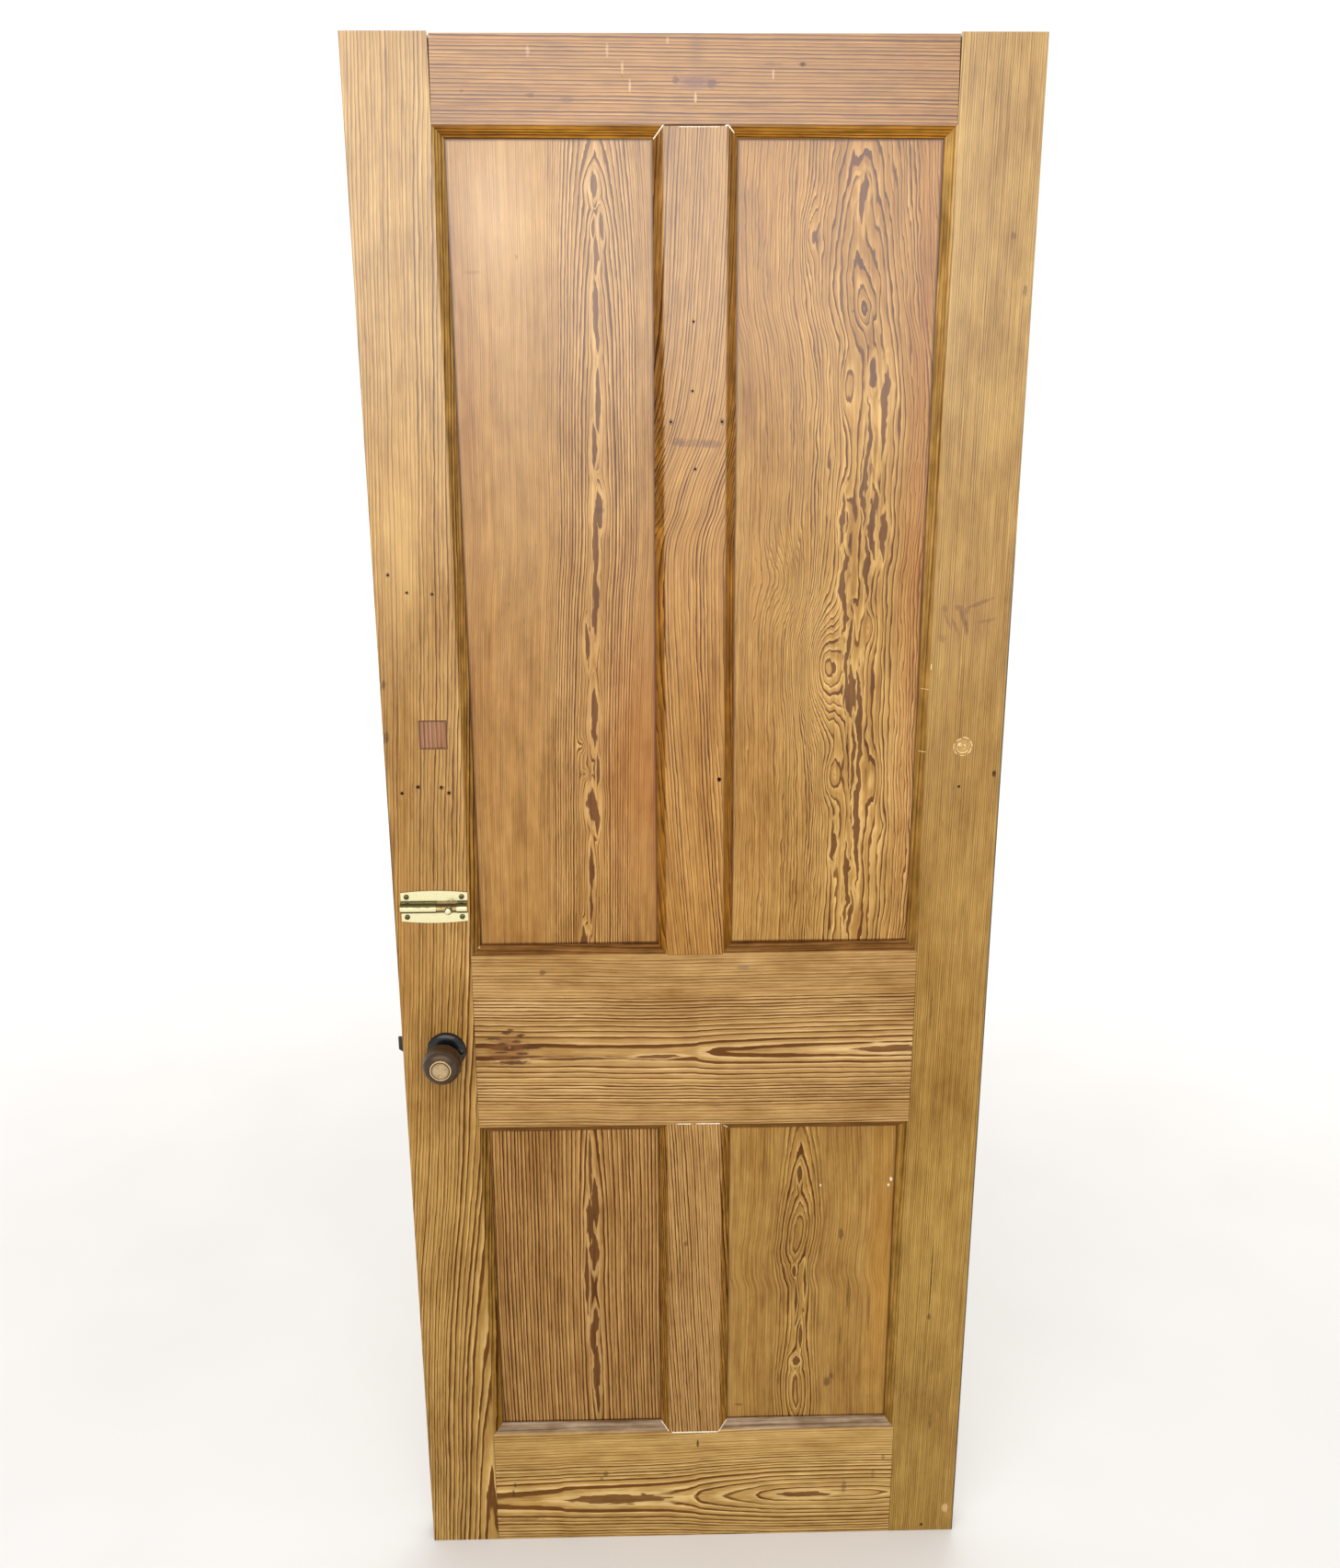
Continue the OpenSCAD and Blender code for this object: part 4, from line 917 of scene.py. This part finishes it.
# %% Bottom rail
finish_board(
    "bottom_rail", FRAME_EDGE_MM,
    runs="across", seed=9.2, contrast=1.7, ring=(7.0, 4.4, 50), fades=(54, 84, 0.32),
    bevel=(0.64, 0.745, 1.55),
    heart=[(-381, 67), (-100, 68), (100, 69), (381, 70)],
    pith=[(-381, 41), (-230, 38.5), (-195, 37.2), (-185, 35.9), (-100, 34.4), (-40, 33), (-28, 32),
          (-12, 30.6), (0, 28.9), (10, 25.9), (24, 24), (38, 21.9), (60, 18.9), (74, 17), (88, 14.9),
          (98, 11.9), (110, 10), (122, 7.9), (175, 5.0), (205, 3.0), (245, 3.4), (280, 7.4), (381, 14)],
    sway=(0.6, 0.7, 0.35), rise=0.0, patches=[(67, -110, 8.5, 72), (69, 160, 6, 36)],
    marks=[(162, 5, 8, 2.0, 0.7), (112, -128, 5, 4, 0.6), (103, -134, 3, 3, 0.5), (95, -259, 4, 2, 0.7),
           (81, -262, 7, 2, 0.7), (82, 218, 13, 3.5, 0.45, paint(96, 58, 50)),
           (102, 260, 9, 3, 0.3), (132, 274, 5, 3, 0.4), (35, -258, 3, 44, 0.5, paint(112, 74, 26)),
           (90, -287, 110, 0.7, 0.7), (90, 287, 110, 0.7, 0.7)],
    tone=paint(177, 140, 78))

# %% [markdown]
# ## Upper muntin
# The upright between the upper panels. Its grain leans over in the upper half, which a bend in the heart
# line does. Something was once fixed here: it has left small holes and a stained line across.

# %% Upper muntin
finish_board(
    "upper_muntin", FRAME_EDGE_MM,
    runs="up", seed=1.9, contrast=1.1, ring=(3.6, 3.6, 80),
    heart=[(1890, 164), (1650, 150), (1480, 104), (1400, 88), (1200, 94), (918, 116)],
    pith=[(0, 56)], sway=(3.6, 1.8, 0.5),
    ages=[(918, (0.93, 0.90, 0.78)), (1100, (0.93, 0.90, 0.78)), (1890, (0.92, 1.00, 1.38))],
    marks=[(0, 1554, 26, 5, 0.38, paint(96, 60, 48)), (-20, 1556, 10, 5, 0.4, paint(86, 52, 42)),
           (20, 1553, 12, 5, 0.4, paint(86, 52, 42)), (-28, 1578, 3, 4, 0.7), (31, 1578, 3, 4, 0.7),
           (0, 1525, 2.5, 3.5, 0.6), (-3, 1612, 2.5, 3, 0.5), (-2, 1687, 2.5, 3, 0.5),
           (30, 1151, 3, 3.5, 0.95, paint(44, 26, 14)), (0, 1890, 60, 0.7, 0.6), (0, 918, 60, 0.7, 0.6)],
    tone=paint(164, 118, 58))

# %% [markdown]
# ## Lower muntin
# The short upright below is plain, straight pine. It needs little more than its tone and its rings.

# %% Lower muntin
finish_board(
    "lower_muntin", FRAME_EDGE_MM,
    runs="up", seed=6.1, contrast=1.35, ring=(3.2, 3.2, 80),
    heart=[(675, -104), (182, -80)], pith=[(0, 50)], sway=(2.6, 1.4, 0.4),
    marks=[(-12, 492, 3, 5, 0.5), (0, 675, 60, 0.7, 0.6), (0, 182, 60, 0.7, 0.6)],
    tone=paint(161, 121, 66))

# %% [markdown]
# ## Square patch
# A square of redder pine fills an old lock hole in the lock stile, with its grain upright and dirt in the
# joint round it. It is small, so the same recipe as the boards will do, with a darker tone.

# %% Square patch
finish_board(
    "square_patch", SMALL_EDGE_MM,
    runs="up", seed=2.9, contrast=0.9, ring=(3.4, 3.4, 80), heart=[(0, -280)], pith=[(0, 50)],
    sway=(1.0, 0.6, 0.3), bevelled=False, sight=(-337, -303, 1193, 1229), tone=paint(136, 92, 58))

# %% [markdown]
# ## Wedges
# Thin wedges close the tenons in the door's two edges, and only their ends show there. Both stiles have the
# same stock, so one recipe is used twice, with another seed for each.

# %% Wedges
for stile, seed in (("lock_stile", 4.1), ("hinge_stile", 7.3)):
    finish_board(
        stile + "_wedges", SMALL_EDGE_MM, runs="across", seed=seed, contrast=0.8, ring=(2.6, 2.6, 80),
        heart=[(0, 400)], pith=[(0, 60)], bevelled=False, tone=paint(140, 98, 52))

# %% [markdown]
# ## Old holes and bruises
# Nails, screws and a lost lock have left holes, and knocks have bruised the arrises. Paint alone could fake
# them, but a hole has depth and catches the light. Each board gets one hidden cutter made of uneven balls,
# and a Boolean takes it away before the faces' shading is evened out.

# %% Holes and bruises
# Each hole is its middle and the three half sizes of its ball, in millimetres.
NAIL, SCREW = (1.4, 5.0, 1.4), (1.9, 6.0, 1.9)
holes = {
    "lock_stile": [
        ((-363, -20, 1405), NAIL), ((-342, -20, 1384), NAIL), ((-312, -20, 1382), NAIL),
        ((-362, -20, 1137), SCREW), ((-342, -20, 1145), SCREW), ((-313, -20, 1144.5), SCREW),
        ((-304, -20, 1137), SCREW), ((-381, -20, 1273), (2.6, 2.2, 6)), ((-381, -20, 1208), (2.8, 2.2, 8)),
        ((-381, -20, 1060), (1.7, 1.6, 22)), ((-381, -20, 930), (1.8, 1.5, 9)), ((-381, -20, 560), (1.6, 1.4, 7)),
        ((-381, -20, 1620), (1.5, 1.4, 6)), ((-381, 20, 1340), (2.0, 1.8, 7)), ((-381, 20, 640), (1.8, 1.6, 9))],
    "hinge_stile": [
        ((329, -20, 1139), NAIL), ((372, -20, 1155), (2.2, 1.8, 4.4)), ((368, -20, 39), (4.0, 1.2, 6.5)),
        ((368, -20, 39), (1.7, 3.0, 3.2)), ((329, -20, 434), (0.5, 1.8, 66)), ((335, -20, 10), (2.2, 1.8, 2.2)),
        ((381, -20, 1719), (1.8, 1.8, 6)), ((381, -20, 1070), (1.5, 1.4, 9)), ((381, 20, 880), (1.8, 1.7, 8))],
    "upper_muntin": [
        ((-28, -20, 1578), NAIL), ((31, -20, 1578), NAIL), ((0, -20, 1525), NAIL), ((-3, -20, 1612), NAIL),
        ((-2, -20, 1687), NAIL), ((30, -20, 1151), (2.3, 4, 2.6)), ((0, -20, 1890.3), (33, 4, 1.5))],
    "bottom_rail": [((5, -20, 162), (1.2, 1.3, 7)), ((-128, -20, 112), (1.6, 1.2, 1.8))],
    "top_rail": [
        ((-79, -20, 1946), (0.8, 0.7, 10)), ((0, -20, 1916), (0.8, 0.7, 9)), ((116, -20, 1949), (3, 1, 1.6))],
    "lower_right_panel": [((269, -7, 579), (2.0, 0.8, 2.6)), ((266, -7, 570), (1.5, 0.7, 2.0))],
}
print("holes and bruises:", sum(len(dents) for dents in holes.values()))

# %% [markdown]
# ## Cutting the holes
# A smooth ball would leave a drilled-looking hole, so each corner of the ball is nudged at random, with a fixed
# seed to get the same holes every time. The Boolean is moved up the stack by one place, to stand before
# the modifier that evens out the shading.

# %% Cutting the holes
NUDGE = 0.13


def dent_cutter(name, dents, seed):
    chance = random.Random(seed)
    shape = bmesh.new()
    for middle, radii in dents:
        place = Matrix.Translation(Vector(middle) * MM) @ Matrix.Diagonal((*(r * MM for r in radii), 1))
        ball = bmesh.ops.create_icosphere(shape, subdivisions=2, radius=1.0, matrix=place)
        for corner in ball["verts"]:
            corner.co += Vector(chance.uniform(-NUDGE, NUDGE) * r * MM for r in radii)
    mesh = bpy.data.meshes.new(name)
    shape.to_mesh(mesh)
    shape.free()
    cutter = bpy.data.objects.new(name, mesh)
    cutter.hide_render = True
    scene.collection.objects.link(cutter)
    return cutter


for seed, (board, dents) in enumerate(holes.items()):
    stack = nodes[board].modifiers
    cut = stack.new("old_holes", "BOOLEAN")
    cut.operation = "DIFFERENCE"
    cut.solver = "EXACT"
    cut.object = dent_cutter(board + "_cutter", dents, seed)
    stack.move(len(stack) - 1, len(stack) - 2)
print("boards with holes:", ", ".join(holes))

# %% [markdown]
# ## Caulk and filler
# Where the muntins' mitres had opened, someone ran a white bead of caulk and wiped it thin. On the hinge stile
# a coin-sized hole was stopped with pale filler and scribbled smooth. Both stand on the surface, so they are
# real beads: a tube swept along a path, with a radius that swells and pinches.

# %% Beads
BEAD_STEP_MM, BEAD_SIDES = 1.2, 8
BEAD_END, BEAD_THIN, BEAD_THICK = 0.4, 0.75, 1.2


def bead(name, path, radius, finish, seed):
    """An uneven bead along a path of points in millimetres, pinched at both ends."""
    chance = random.Random(seed)
    corners = [Vector(point) for point in path]
    spine = []
    for start, end in zip(corners, corners[1:]):
        steps = max(2, round((end - start).length / BEAD_STEP_MM))
        spine += [start.lerp(end, i / steps) for i in range(steps)]
    spine.append(corners[-1])
    shape = bmesh.new()
    hoops = []
    for i, point in enumerate(spine):
        ahead_on = (spine[min(i + 1, len(spine) - 1)] - spine[max(i - 1, 0)]).normalized()
        side = ahead_on.cross(Vector((0, 1, 0))).normalized()
        out = ahead_on.cross(side)
        at_end = i in (0, len(spine) - 1)
        swell = radius * (BEAD_END if at_end else chance.uniform(BEAD_THIN, BEAD_THICK))
        hoops.append([shape.verts.new((point + (side * math.cos(t) + out * math.sin(t)) * swell) * MM)
                      for t in (math.tau * k / BEAD_SIDES for k in range(BEAD_SIDES))])
    for near, far in zip(hoops, hoops[1:]):
        for k in range(BEAD_SIDES):
            shape.faces.new((near[k], near[k - 1], far[k - 1], far[k])).smooth = True
    shape.faces.new(hoops[0])
    shape.faces.new(reversed(hoops[-1]))
    bmesh.ops.recalc_face_normals(shape, faces=shape.faces)
    mesh = bpy.data.meshes.new(name)
    shape.to_mesh(mesh)
    shape.free()
    mesh.materials.append(finish)
    piece = bpy.data.objects.new(name, mesh)
    scene.collection.objects.link(piece)
    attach(piece, "leaf")


print("sides of a bead:", BEAD_SIDES)

# %% [markdown]
# ## White caulk
# Caulk and filler are matt, with brown dirt in their hollows, so one recipe serves both. The beads of caulk
# follow the mitres down the bevels and the joints between rail and muntin. Each path is two or three points,
# because a finger wipes caulk in short straight strokes.

# %% White caulk


def stopping(name, clean, dirty):
    """Caulk or filler: matt, with brown dirt in its hollows."""
    finish, shader, x, y, z = new_finish(name)
    darkening = cloud(x / 3.5, y / 3.5, z / 3.5, 3.0, 0.6)
    feed(x.tree, shader.inputs["Base Color"], tint(ramp(darkening, 0.0, 0.7), clean, dirty))
    feed(x.tree, shader.inputs["Roughness"], 0.6 + darkening * 0.1)
    relief(shader, darkening, 0.4, 0.2)
    return finish


caulk = stopping("white_caulk", paint(246, 236, 216), paint(176, 146, 104))
caulk_paths = {
    "caulk_upper_left": ([(-46, -10.2, 1877), (-35, -20.0, 1889.5)], 0.8),
    "caulk_upper_line": ([(-18, -20.1, 1887.6), (26, -20.1, 1887.6)], 0.4),
    "caulk_upper_right": ([(32, -20.1, 1888.6), (36, -19.6, 1889.4), (43, -13.4, 1882.4)], 0.8),
    "caulk_lock_rail_left": ([(-24, -20.1, 675.4), (-4, -20.1, 675.2)], 0.6),
    "caulk_lock_rail_right": ([(2, -20.1, 675.4), (33, -20.1, 675.4), (45, -11.2, 665)], 0.75),
    "caulk_bottom_left": ([(-47, -10.0, 194), (-36, -19.4, 183)], 0.7),
    "caulk_bottom_middle": ([(-32, -20.1, 182.2), (-29, -20.1, 181.6), (34, -20.1, 181.6)], 0.95),
    "caulk_bottom_right": ([(34, -20.1, 181.7), (36, -19.4, 183.2), (47, -10.0, 194)], 0.75),
    "caulk_corner_left": ([(-280, -14.2, 670), (-276.5, -11.2, 666)], 0.7),
    "caulk_corner_right": ([(280, -14.2, 670), (276.5, -11.2, 666)], 0.7),
    "caulk_corner_upper": ([(-277.6, -12.7, 927.4), (-275.5, -10.8, 929.5)], 0.5),
}
for seed, (name, (path, radius)) in enumerate(caulk_paths.items()):
    bead(name, path, radius, caulk, seed)
print("beads of caulk:", len(caulk_paths))

# %% [markdown]
# ## Pale filler
# The stopped hole is a ring of short strokes with a few more scribbled inside it. A flat disc would be simpler,
# but on the real door each stroke stands a little proud and catches the light. Three flecks of the same
# stuff lie on the bevel nearby.

# %% Pale filler
FILLER_X_MM, FILLER_Z_MM, FILLER_R_MM = 331, 1190, 11.5
FILLER_Y_MM = FACE_Y_MM - 0.05
STROKES, RIM_STROKES, ARC_STEPS = 16, 7, 4
STROKE_SEED, FLECK_SEED = 40, 80
filler = stopping("pale_filler", paint(238, 208, 148), paint(196, 156, 92))
scribble = random.Random(5)
for k in range(STROKES):
    on_rim = k < RIM_STROKES
    reach = FILLER_R_MM * (scribble.uniform(0.9, 1.05) if on_rim else scribble.uniform(0.2, 0.7))
    begin = math.tau * k / RIM_STROKES if on_rim else scribble.uniform(0, math.tau)
    sweep = scribble.uniform(0.5, 0.8) if on_rim else scribble.uniform(0.6, 1.4)
    angles = [begin + sweep * i / ARC_STEPS for i in range(ARC_STEPS + 1)]
    arc = [(FILLER_X_MM + reach * math.cos(t), FILLER_Y_MM, FILLER_Z_MM + reach * math.sin(t)) for t in angles]
    bead(f"filler_stroke_{k + 1}", arc, scribble.uniform(0.4, 0.7), filler, k + STROKE_SEED)

flecks = {
    "fleck_arris": ([(287, -19.8, 1286), (287, -19.8, 1294)], 0.7),
    "fleck_bevel_upper": ([(277, -11.0, 1262), (286, -19.0, 1262)], 0.35),
    "fleck_bevel_lower": ([(277, -11.0, 1183), (286, -19.0, 1183.5)], 0.35),
}
for seed, (name, (path, radius)) in enumerate(flecks.items()):
    bead(name, path, radius, filler, seed + FLECK_SEED)
print("strokes of filler:", STROKES, "flecks:", len(flecks))

# %% [markdown]
# ## One recipe for metals
# Each metal is a bright and a dull tone mixed by soft patches, with fine lines: turned ones run round the knob,
# brushed ones run along the bolt. Hoops are rings of another colour on a turned front. Painted reflection is
# added by asking each surface how far it faces up: where it faces the ceiling or the floor it is tinted dark,
# as if mirroring a dim room.

# %% Metal recipe
KNOB_CENTRE_MM = (-324.0, 788.0)
SMALL_KNOB_CENTRE_MM = (-310.0, 988.0)
SLEEVE_R_MM = 6.95


def facing_up(tree):
    """How far the surface faces the ceiling, from -1 to 1."""
    geometry = tree.nodes.new("ShaderNodeNewGeometry")
    split = tree.nodes.new("ShaderNodeSeparateXYZ")
    tree.links.new(geometry.outputs["Normal"], split.inputs[0])
    return Flow(tree, split.outputs[2])


def metal(name, bright, dull, rough, worn=(-0.2, 0.8), lines="none", dark_reflection=None, crease_shade=None,
          centre=KNOB_CENTRE_MM, hoops=()):
    """Worn metal; hoops are (inner radius, outer radius, distance from the door's middle, strength, colour)."""
    finish, shader, x, y, z = new_finish(name)
    tree = x.tree
    patch = cloud(x / 7, y / 7, z / 7, 3.0, 0.6)
    speck = cloud(x / 0.8, y / 0.8, z / 0.8, 2.0, 0.6)
    a, b = x - centre[0], z - centre[1]
    radius = (a * a + b * b).math("SQRT")
    scratch = speck
    if lines == "turned":
        scratch = drift(radius * 1.9 + y * 1.3, 3.0)
    if lines == "brushed":
        scratch = cloud(x / 15, y / 1.5, z / 0.4, 2.0, 0.6)
    share = ramp(patch + speck * 0.25 + scratch * 0.25, *worn)
    colour = brighten(tint(share, bright, dull), 1.0 + scratch * 0.12 + speck * 0.05)
    rough_now = rough + share * 0.16 + scratch * 0.05
    for inner, outer, past, strength, hoop_colour in hoops:
        hoop = ramp(radius, inner - 0.2, inner + 0.1) * ramp(radius, outer - 0.1, outer + 0.2, 1.0, 0.0)
        hoop = hoop * ramp(y.math("ABSOLUTE"), past - 0.5, past)
        colour = tint(hoop * (strength - ramp(patch, 0.2, 0.9) * 0.3), colour, hoop_colour)
    # Painted reflection: faces turned up or down get a dark tint, standing for a dim ceiling and floor mirrored
    # in the metal.
    if dark_reflection is not None:
        up = facing_up(tree)
        reflecting_dark = ramp(up + patch * 0.12, 0.24, 0.44).math("MAXIMUM", ramp(up, -0.50, -0.34, 1.0, 0.0))
        colour = tint(reflecting_dark * 0.95, colour, dark_reflection)
        rough_now = rough_now + reflecting_dark * 0.12
    # Painted shade: a dark line on the plate along each side of a sleeve, where the sleeve shades it.
    if crease_shade is not None:
        beside = b.math("ABSOLUTE")
        darkening = ramp(beside, SLEEVE_R_MM - 0.5, SLEEVE_R_MM) * ramp(beside, 7.6, 8.8 + patch * 0.5, 1.0, 0.0)
        colour = tint(darkening * ramp(y, -23.5, -22.0) * 0.85, colour, crease_shade)
    feed(tree, shader.inputs["Base Color"], colour)
    shader.inputs["Metallic"].default_value = 1.0
    feed(tree, shader.inputs["Roughness"], rough_now)
    relief(shader, scratch * 0.6 + speck * 0.3 + patch * 0.8, strength=0.30, depth_mm=0.06)
    return finish


print("turned lines run round:", KNOB_CENTRE_MM, SMALL_KNOB_CENTRE_MM)

# %% [markdown]
# ## The black roses
# The round plates behind the knobs are nearly black and shine like thick stoved paint, not like bare metal. A
# dark metal would mirror the room, so they get a paint of their own with a clear coat.

# %% Black roses


def enamel(name, deep, rubbed):
    """Stoved black paint with a thick gloss, rubbed a little on the high spots."""
    finish, shader, x, y, z = new_finish(name)
    patch = cloud(x / 11, y / 11, z / 11, 3.0, 0.6)
    speck = cloud(x / 1.1, y / 1.1, z / 1.1, 2.0, 0.6)
    rub = ramp(patch + speck * 0.4, 0.1, 0.9)
    feed(x.tree, shader.inputs["Base Color"], tint(rub, deep, rubbed))
    feed(x.tree, shader.inputs["Roughness"], 0.34 + rub * 0.2)
    shader.inputs["Specular IOR Level"].default_value = 0.3
    shader.inputs["Coat Weight"].default_value = 0.35
    shader.inputs["Coat Roughness"].default_value = 0.10
    relief(shader, patch * 0.7 + speck * 0.4, strength=0.25, depth_mm=0.08)
    return finish


black = enamel("rose_black", paint(4, 7, 11), paint(20, 24, 28))
roses = ("front_rose", "back_rose")
for rose in roses:
    put_on(nodes[rose], black)
print("black pieces:", ", ".join(roses))

# %% [markdown]
# ## Knobs and latch
# The knob is brown bronze with a bright worn ring round a tan cap, and a dark groove between them. Those rings
# are true steps in the solid too; the hoops of colour only say how far each was polished by hands. The
# latch parts in the door's edge have gone nearly black, and the hidden ones are steel and plain brass.

# %% Knobs and latch
KNOB_FRONT_MM, KNOB_SHOULDER_MM = 76.0, 70.0
bronze = metal("knob_bronze", paint(104, 92, 82), paint(58, 46, 33), 0.38, lines="turned", hoops=[
    (14.2, 22.0, KNOB_SHOULDER_MM, 0.55, paint(70, 54, 34)),
    (11.9, 13.5, KNOB_FRONT_MM, 0.95, paint(238, 208, 158)),
    (10.9, 11.9, KNOB_SHOULDER_MM, 0.9, paint(40, 32, 24))])
cap_brass = metal("cap_brass", paint(204, 178, 138), paint(150, 122, 86), 0.34, lines="turned",
                  hoops=[(9.6, 11.3, KNOB_FRONT_MM, 0.35, paint(110, 86, 56))])
dark_screw = metal("dark_screw", paint(104, 98, 64), paint(52, 48, 34), 0.42)
dark_latch = metal("dark_latch", paint(54, 48, 42), paint(22, 21, 20), 0.46)
steel = metal("inner_steel", paint(168, 168, 166), paint(104, 100, 94), 0.38)
latch_brass = metal("latch_brass", paint(204, 176, 108), paint(138, 110, 62), 0.36)
latch_pieces = {
    bronze: ("front_knob", "back_knob"),
    cap_brass: ("front_knob_cap", "back_knob_cap"),
    dark_screw: ("front_rose_screws", "back_rose_screws", "bolt_plate_screws", "knob_grub_screws"),
    dark_latch: ("latch_forend", "latch_bolt", "latch_forend_screws"),
    steel: ("spindle", "latch_follower", "latch_spring", "latch_cover_screws"),
    latch_brass: ("latch_case", "latch_cover"),
}
for finish, parts in latch_pieces.items():
    for part in parts:
        put_on(nodes[part], finish)
print("pieces of knobs, latch and screws:", sum(len(parts) for parts in latch_pieces.values()))

# %% [markdown]
# ## The barrel bolt
# The little bolt is bright brass, rubbed pale on its flats. A painted reflection tints it olive, and the shoot
# brown, wherever it faces up or down, and painted shade lies in the crease beside its sleeves. The shoot is
# brushed lengthways by its own sliding, and its small knob is polished in the middle, with painted shade round
# its flank.

# %% Barrel bolt
OLIVE_REFLECTION, BROWN_REFLECTION, DARK_CREASE = paint(64, 57, 19), paint(70, 48, 20), paint(74, 66, 28)
bolt_pieces = {
    "bolt_plate": metal(
        "bolt_brass", paint(252, 244, 196), paint(232, 216, 150), 0.24, worn=(0.0, 1.0), lines="brushed",
        dark_reflection=OLIVE_REFLECTION, crease_shade=DARK_CREASE, centre=SMALL_KNOB_CENTRE_MM),
    "bolt_shoot": metal(
        "shoot_brass", paint(226, 208, 150), paint(150, 122, 70), 0.28, lines="brushed", dark_reflection=BROWN_REFLECTION),
    "bolt_shoot_knob": metal(
        "small_knob_brass", paint(250, 238, 196), paint(214, 190, 130), 0.26, lines="turned",
        # The dark hoop round the small knob's flank is painted shade.
        centre=SMALL_KNOB_CENTRE_MM, hoops=[(3.7, 6.0, 20.0, 0.92, paint(66, 56, 26))]),
}
for part, brass in bolt_pieces.items():
    put_on(nodes[part], brass)
print("pieces of the bolt:", ", ".join(bolt_pieces))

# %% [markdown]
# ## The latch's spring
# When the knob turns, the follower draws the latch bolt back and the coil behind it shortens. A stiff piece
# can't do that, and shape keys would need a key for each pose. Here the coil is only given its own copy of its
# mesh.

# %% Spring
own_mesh(nodes["latch_spring"])
